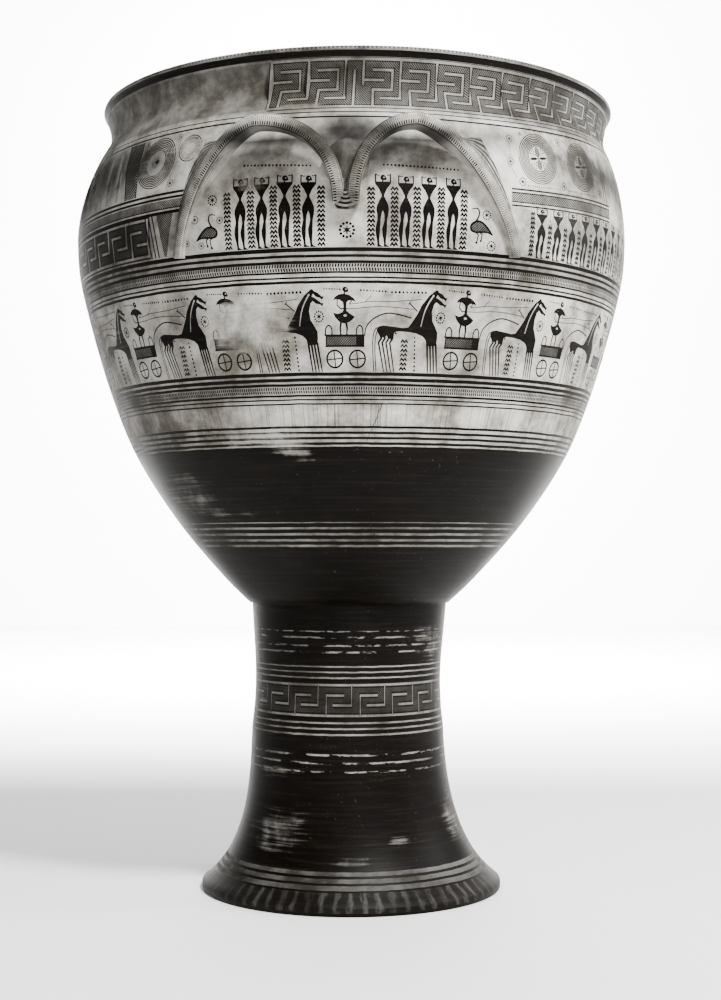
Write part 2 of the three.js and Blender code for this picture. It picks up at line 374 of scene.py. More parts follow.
def mourner():
    """A standing figure with arms raised square to its head, 98 tall, its feet on 0."""
    head = [(-3.8, 92.6), (-2.2, 96.4), (1.4, 96.8), (3.9, 94), (5.2, 90.2), (1.8, 89.3), (-2, 89.4)]
    body = [(-11, 87.6), (-10.8, 84.6), (-5.8, 78), (-1.9, 70), (-1.8, 67.5), (-4.8, 62), (-8.2, 55),
            (-8.9, 49), (-7.8, 43), (-7.2, 36.5), (-8.8, 30), (-9.9, 24), (-9.5, 17), (-7.8, 9),
            (-7, 3.4), (-7.4, 0), (2.6, 0), (-2, 2), (-4.1, 3.6), (-4.4, 9), (-3.8, 17), (-3.3, 27),
            (-3, 36), (-1.8, 43.6), (0, 48.4), (1.8, 43.6), (2.4, 36), (1, 30), (-0.9, 24),
            (-0.4, 17), (1.3, 9), (2, 3.6), (1.8, 0), (11.2, 0), (7, 2), (4.9, 3.6), (4.8, 9),
            (5.8, 20), (6.1, 36), (7.6, 43), (8.3, 49), (7.7, 55), (4.6, 62), (1.8, 67.5), (1.9, 70),
            (5.8, 78), (10.8, 84.6), (11, 87.6)]
    return [(GLAZE, body), filled(head, steps=2), disc(1.2, 93.2, 1.1, CLAY, sides=5),
            stroke([(-0.4, 87), (-0.4, 91)], 2), stroke([(-10.2, 86.5), (-10.4, 98)], 1.9),
            stroke([(10.2, 86.5), (10, 98)], 1.9),
            stroke([(-10.2, 97.4), (-6.4, 95.8), (-4.4, 96.6)], 1.2),
            stroke([(9.8, 97.4), (6.6, 95.8), (4.8, 97)], 1.2)]


def bird():
    """A long-necked bird facing -X, its body on 0."""
    body = [(-14.4, -1), (-12.6, 4.6), (-6, 9), (2, 9.6), (10, 5.4), (17, -1.4), (23, -9.6),
            (13.6, -7), (4, -7.4), (-5, -8), (-12, -6)]
    inner = [(-11.4, -0.8), (-10, 3.2), (-5, 6.2), (1.4, 6.8), (8, 3.4), (14, -2.6), (16.4, -5.6), (11, -4.6),
             (3, -4.8), (-5, -5.4), (-10, -3.8)]
    neck = flowing([(-8, 6), (-3.6, 10), (-0.4, 17), (-0.2, 22), (-3, 25.8), (-7, 25.4), (-11.6, 24.6)], 3)
    return [filled(body), filled(inner, DENSE), stroke(neck, 2.9, end_width=1.3),
            stroke([(-6, -6), (-0.6, -10), (-2.2, -21)], 1.8), stroke([(0, -6), (5.4, -9), (4.2, -18)], 1.8),
            disc(-2.8, -20.6, 2, sides=6), disc(3.8, -17.8, 1.8, sides=6)]


def target(radius, leaves=True):
    """Concentric circles round a cross of leaves."""
    shapes = [disc(0, 0, radius, sides=44), disc(0, 0, radius - 1.5, CLAY, sides=44),
              disc(0, 0, radius - 2.9, GLAZE, sides=44)]
    rings = 6
    inner = radius * 0.53
    for i in range(rings):
        outer_edge = mix(radius - 2.9, inner, (i + 0.6) / rings)
        inner_edge = mix(radius - 2.9, inner, (i + 1) / rings)
        shapes.append(disc(0, 0, outer_edge, CLAY, sides=40))
        if i < rings - 1:
            shapes.append(disc(0, 0, inner_edge, GLAZE, sides=40))
    shapes.append(disc(0, 0, inner, GLAZE, sides=32))
    shapes.append(disc(0, 0, inner - 1.5, CLAY, sides=32))
    for quarter in range(4 if leaves else 0):
        a = pi / 2 * quarter + 0.12
        plump = 0.2 if quarter % 2 else 0.1
        for swell, paint in ((plump, GLAZE), (plump - 0.07, HATCH if quarter % 2 else GLAZE)):
            leaf = [(0, 0), (inner * 0.3, swell * inner), (inner * 0.66, swell * 0.95 * inner),
                    (inner * 0.92, 0), (inner * 0.66, -swell * 0.95 * inner),
                    (inner * 0.3, -swell * inner)]
            turned = [(px * cos(a) - pz * sin(a), px * sin(a) + pz * cos(a)) for px, pz in leaf]
            shapes.append((paint, turned))
        b = a + pi / 4
        for away, aside in ((0.4, 0), (0.6, 0.1), (0.62, -0.1), (0.8, 0.2), (0.82, 0), (0.8, -0.2)):
            shapes.append(disc(inner * (away * cos(b) - aside * sin(b)),
                               inner * (away * sin(b) + aside * cos(b)), inner * 0.06, sides=6))
    return shapes


def key_lines(paths, outline, line):
    """Reserved lines of a key pattern with dark edges, the edges under all the lines."""
    edges = [stroke(path, line + 2 * outline, GLAZE) for path in paths]
    lights = [stroke(path, line, CLAY) for path in paths]
    return edges, lights


def tall_key(x, low, high, pitch, left=True, right=True, foot=0.2):
    """The reserved lines that hang from and stand beside one divider of the tall key pattern on the neck."""
    step = (high - low) / 5
    end = low + (high - low) * foot
    paths = [[(x, high), (x, end)]]
    if left:
        paths = [[(x, high), (x, end), (x - pitch * 0.53, end)]]
    if right:
        paths.append([(x, low + 3 * step), (x + pitch * 0.56, low + 3 * step)])
        paths.append([(x + pitch * 0.275, low), (x + pitch * 0.275, low + 2 * step),
                      (x + pitch * 0.785, low + 2 * step), (x + pitch * 0.785, low + 4 * step),
                      (x + pitch * 0.24, low + 4 * step)])
    return paths


def low_key(x, low, high, pitch):
    """The reserved lines of one unit of the low key pattern on the stem."""
    rise = high - low
    return [[(x, high), (x, low + rise * 0.34), (x - pitch * 0.55, low + rise * 0.34)],
            [(x + pitch * 0.255, low), (x + pitch * 0.255, low + rise * 0.66),
             (x + pitch * 0.78, low + rise * 0.66)]]


def key_band(x0, x1, low, high, paths, outline, line, ground=HATCH):
    """A hatched band with its key pattern, between two reserved lines."""
    rails = [[(x0, low), (x1, low)], [(x0, high), (x1, high)]]
    edges, lights = key_lines(paths + rails, outline, line)
    return [box(x0, low, x1, high, ground)] + edges + lights


# The chariot frieze

def wheel(x, z, radius):
    shapes = [disc(x, z, radius, sides=26), disc(x, z, radius - 2.6, CLAY, sides=24)]
    for a in (0.1, pi / 2 + 0.1):
        shapes.append(stroke([(x - (radius - 2) * cos(a), z - (radius - 2) * sin(a)),
                              (x + (radius - 2) * cos(a), z + (radius - 2) * sin(a))], 1.7))
    return shapes


def charioteer():
    """A driver in a long robe, drawn as two crescents on a thin waist, standing at 49."""
    cape = [(-16.4, 95.6), (-14, 100), (-9, 103.4), (-1.5, 104.4), (6, 102.6), (12, 98.5),
            (15.6, 93.2), (11, 95), (5.5, 95.4), (2.4, 93), (1.9, 87), (2.2, 81.5), (6, 78.6),
            (13.8, 73.8), (10.6, 69.6), (5, 66), (-1.4, 64.8), (-8, 67), (-13.6, 72.6), (-17, 79.4),
            (-10, 77.6), (-4.6, 79.4), (-2.3, 82), (-2, 87), (-2.8, 93), (-7, 96), (-12, 97)]
    head = [(-3.6, 109.5), (-2, 113), (1.6, 113.4), (4.2, 110.4), (4.6, 106.6), (1.6, 106.2), (-1.6, 107)]
    return [(GLAZE, cape), filled(head, steps=2), stroke([(-0.8, 103), (-0.6, 108)], 2),
            disc(1.6, 110.2, 1, CLAY, sides=6), disc(0.2, 75.4, 1.5, CLAY, sides=6, flat=1.6),
            stroke([(-10.6, 97.5), (-10.8, 89), (-6, 84.4), (-1, 84.8)], 1.6),
            stroke([(9.5, 95), (6.6, 91.4), (8, 90.2)], 1.5),
            stroke([(-5.6, 66.5), (-6.8, 59), (-6.2, 49.5)], 3.2, end_width=1.8),
            stroke([(1.6, 66), (3, 59), (2.4, 49.5)], 3.4, end_width=1.9),
            stroke([(-7.4, 50.2), (-2.6, 49.4)], 1.8), stroke([(1.2, 50.2), (6, 49.4)], 1.8)]


def horses():
    """Two horses drawn as one body with two heads, four forelegs and four hind legs on 0."""
    body = [(43.6, 57), (46.5, 61.2), (54.6, 62.6), (70, 61.2), (86, 59.6), (94.5, 60.6), (100, 67.5),
            (107.5, 78), (114, 90.5), (125, 103.6), (136, 111.6), (138.4, 111), (140, 108.6),
            (146, 106.4), (151.5, 101.6), (155.4, 101.6), (152.6, 96.6), (149, 99.4), (143, 101),
            (138.5, 105), (136.4, 101.4), (140, 100), (147, 95.6), (151.6, 92.4), (154.8, 93),
            (152.4, 87.6), (149.6, 90.6), (143, 91.6), (137.4, 95.4), (134, 92), (131.4, 82),
            (133.4, 70), (139, 62), (143.6, 54.6), (144, 46), (142.8, 37), (127, 36), (124.6, 44),
            (119, 49), (108, 52.6), (93.6, 54.4), (80, 55), (72.4, 54), (71.4, 46), (70, 42),
            (64.6, 45.4), (60, 49), (56, 46), (51, 47.4), (47, 50.4)]
    shapes = [(GLAZE, body)]
    slit = flowing([(131.6, 103.4), (124, 92), (118.6, 79), (115, 62)], 3)
    shapes.append(stroke(slit, 1.9, CLAY, end_width=1.2))
    shapes.append(disc(131.9, 103.6, 1.4, CLAY, sides=6))
    for i in range(4):
        top = 127.6 + i * 4.9
        foot = 133 + i * 5.4
        shapes.append(stroke([(top, 40), (mix(top, foot, 0.5), 20), (foot, 0)], 3.8, end_width=2))
        thigh = 49.4 + i * 6
        hock = 47.4 + i * 6.1
        hoof = 57.5 + i * 5.8
        shapes.append(stroke([(thigh, 51), (thigh + 2.4, 45.6), (hock, 39.4), (mix(hock, hoof, 0.5), 20),
                              (hoof, 0)], 3.6, end_width=1.9))
    shapes.append(stroke([(72, 55.5), (75.4, 51.4)], 1.8))
    shapes.append(stroke([(73.6, 51.6), (77, 51.8)], 1.2))
    shapes.append(stroke(flowing([(45, 60), (40.4, 55.4), (38.2, 44), (38.4, 28), (41, 1)], 3), 1.6))
    shapes.append(stroke(flowing([(46, 57), (43, 50), (41.6, 38), (42.4, 22), (44.8, 1)], 3), 1.6))
    return shapes


def chariot():
    """One chariot and its team, from the left end of the box at -40 to the muzzles at 155."""
    cart = [box(-28.2, 34, 28, 49.2), box(-26.4, 36, 16, 47.2, DENSE), stroke([(-30, 49.4), (28.4, 49.4)], 2),
            stroke([(-29, 34.4), (28, 34.4)], 2)]
    for x in (-23.4, 20.8):
        loop = flowing([(x - 4.6, 49), (x - 4.2, 58), (x, 62.4), (x + 4.2, 58), (x + 4.6, 49)], 3)
        cart.append(stroke(loop, 1.9))
    cart += wheel(-15.4, 17.4, 12.9) + wheel(17.9, 17.4, 12.9) + charioteer()
    shapes = [(paint, [(24.8 + (x - 28) * 1.113, z) for x, z in outline]) for paint, outline in cart]
    pole = [(24.6, 49), (27.8, 61.4), (40, 72.3), (59.6, 78.8), (80, 77), (99, 73)]
    shapes.append(stroke(flowing(pole, 3), 1.9))
    shapes.append(stroke(flowing([(2, 90.6), (16, 92), (31.4, 94), (72, 94.6), (113, 98.4)], 2), 1.0))
    shapes.append(stroke(flowing([(-7, 84.6), (14, 85), (39.8, 87.3), (70, 87), (102, 84.6)], 2), 1.0))
    shapes.append(stroke([(24, 92.5), (34.6, 102)], 0.9))
    shapes.append(stroke([(94, 93), (108, 82)], 1.8))
    shapes.append(stroke([(92.6, 91), (96.6, 95.4)], 1.5))
    shapes += horses()
    shapes += chevrons(89.6, 3, 46, 11.5, 5.4)
    shapes += dots(109.4, 3, 106, 47, 5.6, 1.7)
    shapes += moved(rosette(8.2), 146.6, 74.6)
    shapes += dots(-38, 111.2, -14, 110, 4.1, 1.3) + dots(18, 109, 56, 107.6, 5, 1.5)
    shapes += dots(66, 106.8, 119, 107.4, 5.6, 1.9)
    return shapes


def frieze_shapes(unit_width, units):
    """A run of chariots that joins on to its own start."""
    shapes = []
    for unit in range(units):
        squeeze = 0.935 + rng.uniform(-0.008, 0.008)
        shift = rng.uniform(-1.2, 1.2)
        grow = rng.uniform(0.985, 1.0)
        team = [(paint, [(px * squeeze, pz * grow) for px, pz in outline]) for paint, outline in chariot()]
        shapes += moved(team, unit * unit_width + shift, 0)
    return shapes


# Shoulder and neck

SHOULDER_SCALE = radians(1) * BELLY_RADIUS


def at_angle(shapes, angle, z, scale=1.0, mirror=False):
    """Shapes of the shoulder zone put at an angle round the body and a height above its lower edge."""
    return moved(shapes, angle * SHOULDER_SCALE, z - SHOULDER_ZONE[0], scale, mirror)


def shoulder_stroke(points, width, paint=GLAZE):
    placed = [(angle * SHOULDER_SCALE, z - SHOULDER_ZONE[0]) for angle, z in points]
    return stroke(placed, width, paint)


def shoulder_dots(angle0, z0, angle1, z1, pitch, radius):
    base = SHOULDER_ZONE[0]
    return dots(angle0 * SHOULDER_SCALE, z0 - base, angle1 * SHOULDER_SCALE, z1 - base, pitch, radius)


def arch_pictures():
    """Mourners, birds and rosettes within the two arches of one handle."""
    shapes = []
    feet = SHOULDER_ZONE[0] + 0.6
    for angle in (-20.1, -16, -11.7, -7.4, 5.9, 10.05, 14.3, 18.9):
        shapes += at_angle(mourner(), angle, feet, 1.0 + rng.uniform(-0.012, 0.012))
    for angle, top in ((-22.7, 1028), (-18.1, 1034), (-13.8, 1033), (-9.5, 1033), (-5.1, 1031),
                       (3.8, 1029), (8, 1030), (12.1, 1031), (16.6, 1032), (21, 1031)):
        shapes += moved(chevrons(0, 1.5, top - feet, 10.2, 5.9), angle * SHOULDER_SCALE, 0.6)
    shapes += at_angle(bird(), 24.1, 980)
    shapes += at_angle(bird(), -26.6, 973.5, 0.98, mirror=True)
    for angle, z, radius in ((25.6, 997.5, 7), (26.9, 956.5, 7.4), (-25.7, 1018.5, 7.6), (-29.6, 994, 6.2),
                             (-24.3, 990, 5.2), (-31.6, 962.6, 4.6), (-28.5, 957.6, 5), (-0.5, 969.6, 11.4)):
        shapes += at_angle(rosette(radius), angle, z)
    for row in ((-19.6, 1063, -7.2, 1058), (6, 1059, 19.8, 1057)):
        shapes += shoulder_dots(*row, 5.4, 1.7)
    return shapes


def panel_rails(angle0, angle1, lines, hatched):
    """Lines and a hatched band that part the circles from the row below."""
    base = SHOULDER_ZONE[0]
    low, high = hatched
    shapes = [box(angle0 * SHOULDER_SCALE, low - base, angle1 * SHOULDER_SCALE, high - base, HATCH_BACK)]
    for z, width in lines:
        shapes.append(shoulder_stroke([(angle0, z), (angle1, z)], width))
    return shapes


def right_panel():
    """Two large circles over a row of small mourners."""
    lines = ((1037.6, 2.6), (1032.6, 2), (1019.4, 1.8), (1014.6, 2.2))
    shapes = panel_rails(31, 62.4, lines, (1020.4, 1031.6))
    shapes += at_angle(target(38), 38, 1086) + at_angle(target(37), 51.2, 1085)
    for angle, z, radius in ((31.2, 1111, 6), (31, 1077, 6), (33.6, 1049, 6.6), (44.6, 1050, 6),
                             (44.4, 1116, 5.6), (57.8, 1051, 6.4), (57.8, 1118, 5), (34, 1121, 3.6)):
        shapes += at_angle(rosette(radius, 10), angle, z)
    for row in ((31.1, 1103, 31, 1084), (35, 1044, 43.4, 1044.4), (46, 1044.6, 56.4, 1045),
                (44.6, 1082, 44.6, 1058), (31, 1069, 32.2, 1056), (38, 1128, 50, 1127)):
        shapes += shoulder_dots(*row, 4.0, 1.1)
    feet = SHOULDER_ZONE[0] + 0.6
    for i in range(12):
        angle = 38.3 + 4.38 * i
        small = [(paint, [(x * 0.98, z * 0.67) for x, z in outline]) for paint, outline in mourner()]
        shapes += at_angle(small, angle, feet)
        shapes += moved(chevrons(0, 1.5, 47, 8, 6), (angle + 2.2) * SHOULDER_SCALE, 0.6)
        shapes += moved(dots(0, 51, 0, 64, 3.2, 1), (angle + 2.2) * SHOULDER_SCALE, 0.6)
    shapes += moved(chevrons(0, 1.5, 62, 8, 6), 36.0 * SHOULDER_SCALE, 0.6)
    for angle, width in ((60.2, 1.4), (61.4, 3.4), (64.5, 2.2), (67.4, 4.6), (72, 3), (76, 5)):
        shapes.append(shoulder_stroke([(angle - 1.4, 1127), (angle - 0.4, 1080), (angle, 1039)], width,
                                      GLAZE if angle < 62 else WASH))
    return shapes


def left_panel():
    """Two faded circles over a low key pattern."""
    lines = ((1038, 3.6), (1031.4, 3.4), (1016.4, 1.6), (1011, 4.4))
    shapes = panel_rails(-90, -31.5, lines, (1017.2, 1028.4))
    shapes += at_angle(target(38, leaves=False), -40.4, 1087)
    shapes += at_angle(target(20, leaves=False), -32.2, 1100)
    shapes += at_angle([disc(0, 0, 9, WASH, sides=14), disc(2, 1, 4, GLAZE, sides=9)], -40.4, 1088)
    for angle, z, radius in ((-35.6, 1052, 6), (-35.4, 1120, 4.6), (-44.6, 1120, 5)):
        shapes += at_angle(rosette(radius, 9), angle, z)
    base = SHOULDER_ZONE[0]
    pitch = 50
    low, high = 953.4 - base, 1005.4 - base
    paths = []
    x1 = -41 * SHOULDER_SCALE
    x0 = -90 * SHOULDER_SCALE
    x = x1 - 2.6
    paths.append([(x, low), (x, high)])
    while x - pitch > x0 - 1:
        paths += [[(x, high), (x, low + 18), (x - pitch * 0.5, low + 18)]]
        paths += [[(x - pitch * 0.76, low), (x - pitch * 0.76, high - 16), (x - pitch * 0.26, high - 16)]]
        x -= pitch
        paths += [[(x, high), (x, low + 18)]]
    shapes += key_band(x0, x1, low, high, paths, 2.4, 3.6, DENSE)
    for angle, width in ((-40.7, 2.4), (-39.7, 2.2), (-38.8, 2.4)):
        shapes.append(shoulder_stroke([(angle - 1.2, 1009), (angle, 949)], width))
    wedge = [(-38.8, 1009), (-34.6, 1009), (-36.8, 949), (-37.4, 949)]
    shapes.append((HATCH, [(a * SHOULDER_SCALE, z - base) for a, z in wedge]))
    band = [(-50.6, 1126), (-46.4, 1126), (-45, 1041), (-48, 1041)]
    shapes.append((HATCH, [(a * SHOULDER_SCALE, z - base) for a, z in band]))
    for a0, a1 in ((-50.8, -48.2), (-46.2, -44.8)):
        shapes.append(shoulder_stroke([(a0, 1127), (a1, 1041)], 2.6))
    for angle in (-53, -57, -60, -66, -71, -78):
        shapes.append(shoulder_stroke([(angle, 1125), (angle + 1.6, 1042)], 7, WASH))
    return shapes


def neck_pictures():
    """The tall key pattern round the neck, its joint at the front, and the plain worn stretch."""
    base = SHOULDER_ZONE[0]
    low, high = 1145.4 - base, 1213.6 - base
    turn = 7.42
    pitch = turn * SHOULDER_SCALE
    start, joint, after = -17.2, -2.1, 1.4
    paths = [[(start * SHOULDER_SCALE, low), (start * SHOULDER_SCALE, high)]]
    paths += tall_key(start * SHOULDER_SCALE, low, high, pitch, left=False)
    paths += tall_key((joint - turn) * SHOULDER_SCALE, low, high, pitch)
    paths += tall_key(joint * SHOULDER_SCALE, low, high, pitch, right=False)
    middle = (joint + after) / 2 * SHOULDER_SCALE
    paths.append([(middle, low), (middle, mix(low, high, 0.8))])
    paths += tall_key(after * SHOULDER_SCALE, low, high, pitch, left=False, foot=0.5)
    count = 35
    for i in range(1, count):
        paths += tall_key((after + turn * i) * SHOULDER_SCALE, low, high, pitch)
    end = (after + turn * count) * SHOULDER_SCALE
    paths += tall_key(end, low, high, pitch, right=False)
    bare = [box(end, low, 360 * SHOULDER_SCALE + start * SHOULDER_SCALE, high, WASH)]
    return bare + key_band(start * SHOULDER_SCALE, end, low, high, paths, 1.5, 3.4)


def shoulder_shapes():
    """Everything painted between the belly lines and the lip, front and back."""
    shapes = []
    for turn in (0, 180):
        half = arch_pictures() + right_panel() + left_panel()
        shapes += moved(half, turn * SHOULDER_SCALE, 0)
    for z, width in ((1137, 1.7), (1129.5, 2.6)):
        shapes.append(shoulder_stroke([(-180, z), (180, z)], width))
    shapes += neck_pictures()
    return shapes


def lifted(x, z):
    """Where the painter's lines really ran: the right side of the shoulder rides up a little."""
    angle = x / SHOULDER_SCALE
    reach = smooth(abs(angle), 20, 70) * (1 - smooth(abs(angle), 100, 150))
    rise = smooth(z, 10, 80) * (1 - smooth(z, 215, 262))
    return z + reach * rise * (13 if angle > 0 else -3)


def divided(outline, longest):
    """The outline with no stretch longer than that along the wall."""
    made = []
    for (x0, z0), (x1, z1) in zip(outline, outline[1:] + outline[:1]):
        parts = max(int(abs(x1 - x0) / longest + 0.999), 1)
        made += [(mix(x0, x1, i / parts), mix(z0, z1, i / parts)) for i in range(parts)]
    return made


def zone_mesh(zone, span, shapes, ground, rows, warp=None):
    """Triangles of a painted zone: points in (angle, height) and each triangle's paint."""
    low, high = zone
    rise = high - low
    step = 360 / COLUMNS * SHOULDER_SCALE
    columns = int(round(span * SHOULDER_SCALE / step))
    width = columns * step
    levels = [-6] + [rise * i / rows for i in range(rows + 1)] + [rise + 6]
    tall = len(levels)
    points = [(step * c, z) for c in range(-1, columns + 2) for z in levels]
    edges = []
    for c in (1, columns + 1):
        edges += [(c * tall + i, c * tall + i + 1) for i in range(1, rows + 1)]
    for c in range(1, columns + 1):
        edges += [(c * tall + i, (c + 1) * tall + i) for i in (1, rows + 1)]
    faces, paints = [], []
    for shift in (-width, 0, width):
        for paint, outline in shapes:
            placed = [(x + shift, z) for x, z in outline]
            if max(x for x, z in placed) < -1 or min(x for x, z in placed) > width + 1:
                continue
            placed = divided(placed, step)
            if warp:
                placed = [(x, warp(x if x < width / 2 else x - width, z)) for x, z in placed]
            placed = [(x, min(max(z, 0.4), rise - 0.4)) for x, z in placed]
            area = sum(x0 * z1 - x1 * z0 for (x0, z0), (x1, z1) in zip(placed, placed[1:] + placed[:1]))
            if area < 0:
                placed.reverse()
            first = len(points)
            points += placed
            faces.append(list(range(first, first + len(placed))))
            paints.append(paint)
    made = delaunay_2d_cdt([Vector(p) for p in points], edges, faces, 0, 1e-4, True)
    places, triangles, inside = made[0], made[2], made[5]
    kept, colours = [], []
    for triangle, owners in zip(triangles, inside):
        p, q, r = (places[v] for v in triangle)
        middle = (p + q + r) / 3
        area = abs((q - p).cross(r - p))
        if 0 < middle.x < width and 0 < middle.y < rise and area > 1e-3:
            kept.append(triangle)
            colours.append(paints[max(owners)] if owners else ground)
    return [(p.x / SHOULDER_SCALE, p.y + low) for p in places], kept, colours


def zone_piece(name, zone, span, shapes, ground, rows, warp=None):
    """One object for a whole painted zone, repeated round the body."""
    places, triangles, colours = zone_mesh(zone, span, shapes, ground, rows, warp)
    used = sorted({v for t in triangles for v in t})
    index = {v: i for i, v in enumerate(used)}
    points, faces, paints = [], [], []
    for copy in range(int(round(360 / span))):
        first = len(points)
        points += [on_wall(places[v][0] + copy * span, places[v][1]) for v in used]
        faces += [tuple(first + index[v] for v in t) for t in triangles]
        paints += colours
    mesh = bpy.data.meshes.new(name)
    mesh.from_pydata(points, [], faces)
    store_paint(mesh, paints)
    piece = bpy.data.objects.new(name, mesh)
    bpy.context.collection.objects.link(piece)
    return piece


def store_paint(mesh, values):
    paint = mesh.attributes.new("paint", "FLOAT", "FACE")
    paint.data.foreach_set("value", [float(v) for v in values])


# Handles

def arch_stations(arch, outer=44, inner=26):
    """Stations along one arch: angle, height, front radius, half width, flare and the wall's hold."""
    top = BELLY_RADIUS + HANDLE_REACH
    foot = BELLY_RADIUS + HANDLE_FOOT_REACH
    stations = []
    for i in range(outer + 1):
        turn = i / outer * pi / 2
        out, up = cos(turn) ** (2 / arch["fullness"]), sin(turn) ** (2 / arch["fullness"])
        height = mix(HANDLE_FOOT, HANDLE_TOP, up)
        held = 1 - smooth(height, LEG_FREE_FROM - FREE_BLEND, LEG_FREE_FROM)
        stations.append((mix(arch["top"], arch["foot"], out), height, mix(foot, top, up ** 1.6),
                         mix(STRAP_FOOT_THICKNESS, STRAP_THICKNESS, min(1, up * 1.3)) / 2,
                         mix(FOOT_FLARE, LEG_FLARE, min(1, up * 1.6)) * held ** 0.6, held))
    for i in range(1, inner + 1):
        turn = (1 - i / inner) * pi / 2
        out, up = cos(turn) ** (2 / INNER_FULLNESS), sin(turn) ** (2 / INNER_FULLNESS)
        height = mix(TONGUE_HEIGHT, HANDLE_TOP, up)
        held = 1 - smooth(height, TONGUE_FREE_FROM, TONGUE_FREE_FROM + FREE_BLEND)
        front = mix(foot + TONGUE_REACH_STEP, top, min(1, up * 2) ** 0.6)
        stations.append((mix(arch["top"], arch["inner"], out), height, front, STRAP_THICKNESS / 2, 0, held))
    return stations


def strap_section(front, half, flare, back_at):
    """The strap's section: (aside, radius, surface, place on it) round from its inner front edge."""
    r = STRAP_ROUNDING
    ring = []
    for i in range(4):
        a = pi / 2 * i / 3
        ring.append((-half + r - r * cos(a), front - r + r * sin(a), FACE, -half + r - r * cos(a)))
    for i in range(1, 6):
        a = mix(-half + r, half - r, i / 6)
        ring.append((a, front + 0.5 * sin(pi * i / 6), FACE, a))
    for i in range(4):
        a = pi / 2 * i / 3
        ring.append((half - r + r * sin(a), front - r + r * cos(a), FACE, half - r + r * sin(a)))
    wall = back_at(half + flare)
    for i in range(1, 10):
        q = i / 9
        sag = -3.2 * sin(pi * q) * min(flare / 20, 1)
        ring.append((half + flare * q ** 1.15, mix(front - r, wall, q) + sag, FLANK, q))
    for q in (0.33, 0.67):
        aside = mix(half + flare, -half, q)
        ring.append((aside, back_at(aside), BACK, q))
    wall = back_at(-half)
    for i in range(7):
        q = i / 6
        ring.append((-half, mix(wall, front - r, q), SIDE, q))
    return ring


def strap_piece(name, arch):
    """One arch of a handle. Its section changes all the way along, so it is lofted ring by ring."""
    stations = arch_stations(arch)
    reach = BELLY_RADIUS + HANDLE_REACH
    side = 1 if arch["foot"] > 0 else -1
    points, rings, along = [], [], 0.0
    marks = []
    for i, (angle, height, front, half, flare, held) in enumerate(stations):
        before = stations[max(i - 1, 0)]
        after = stations[min(i + 1, len(stations) - 1)]
        run = radians(after[0] - before[0]) * reach
        rise = after[1] - before[1]
        long = hypot(run, rise)
        outward = (rise / long * side, -run / long * side)
        if i:
            back = stations[i - 1]
            along += hypot(radians(angle - back[0]) * reach, height - back[1])

        def back_at(aside, height=height, front=front, held=held, outward=outward):
            wall = wall_radius(min(height + outward[1] * aside, RIM_HEIGHT - 12)) - WALL_GRIP
            return mix(front - STRAP_DEPTH, wall, held)

        ring = []
        for aside, radius, surface, q in strap_section(front, half, flare, back_at):
            turn = radians(angle) + outward[0] * aside / reach
            level = height + outward[1] * aside
            points.append((radius * sin(turn) * MM, -radius * cos(turn) * MM, level * MM))
            marks.append((along, surface, q))
            ring.append(len(points) - 1)
        rings.append(ring)
    faces = []
    for low, high in zip(rings, rings[1:]):
        for j in range(len(low)):
            k = (j + 1) % len(low)
            faces.append((low[j], low[k], high[k], high[j]))
    faces.append(tuple(rings[0][::-1]))
    faces.append(tuple(rings[-1]))
    mesh = bpy.data.meshes.new(name)
    mesh.from_pydata(points, [], faces)
    store_paint(mesh, [BANDS] * len(faces))
    lay = mesh.uv_layers.new(name="paint_map")
    for face in mesh.polygons:
        surfaces = [marks[v][1] for v in face.vertices]
        for corner, vertex in zip(face.loop_indices, face.vertices):
            run, surface, q = marks[vertex]
            own = surface
            if BACK in surfaces:
                own, q = BACK, 0.5
            elif SIDE in surfaces:
                own = SIDE
                q = q if surface == SIDE else 1.0
            elif FLANK in surfaces:
                own = FLANK
                q = q if surface == FLANK else 0.0
            lay.uv[corner].vector = (run * MM, own + (q * MM if own == FACE else q * 0.5))
    piece = bpy.data.objects.new(name, mesh)
    bpy.context.collection.objects.link(piece)
    return piece


def rounded_piece(name, size, radius, height, segments, rings, mark):
    """An ellipsoid half sunk in the wall, with its own map for the paint."""
    bpy.ops.object.select_all(action="DESELECT")
    bpy.ops.mesh.primitive_uv_sphere_add(segments=segments, ring_count=rings, radius=1)
    piece = bpy.context.object
    piece.name = name
    edit()
    bpy.ops.transform.resize(value=[side * MM for side in size])
    bpy.ops.transform.translate(value=(0, -radius * MM, height * MM))
    bpy.ops.transform.rotate(value=-radians(TONGUE_ANGLE), orient_axis="Z", center_override=(0, 0, 0))
    leave_edit()
    mesh = piece.data
    while mesh.uv_layers:
        mesh.uv_layers.remove(mesh.uv_layers[0])
    lay = mesh.uv_layers.new(name="paint_map")
    turn = radians(TONGUE_ANGLE)
    for loop in mesh.loops:
        x, y, z = mesh.vertices[loop.vertex_index].co
        lay.uv[loop.index].vector = (x * cos(turn) + y * sin(turn), mark + z - height * MM)
    store_paint(mesh, [BANDS] * len(mesh.polygons))
    return piece


def tongue_piece(name):
    """The rounded end in which the two arches meet."""
    height = TONGUE_HEIGHT + TONGUE_LENGTH * 0.55
    span = radians(RIGHT_ARCH["inner"] - LEFT_ARCH["inner"]) * BELLY_RADIUS
    size = ((span + STRAP_THICKNESS) / 2, TONGUE_BULGE, TONGUE_LENGTH)
    return rounded_piece(name, size, wall_radius(height) - 1, height, 40, 24, TONGUE)


def saddle_piece(name):
    """The web that fills the valley between the arches."""
    height = TONGUE_HEIGHT + SADDLE_LIFT
    size = (SADDLE_HALF_WIDTH, SADDLE_BULGE, SADDLE_HALF_HEIGHT)
    return rounded_piece(name, size, wall_radius(height) - 1, height, 32, 20, SADDLE)


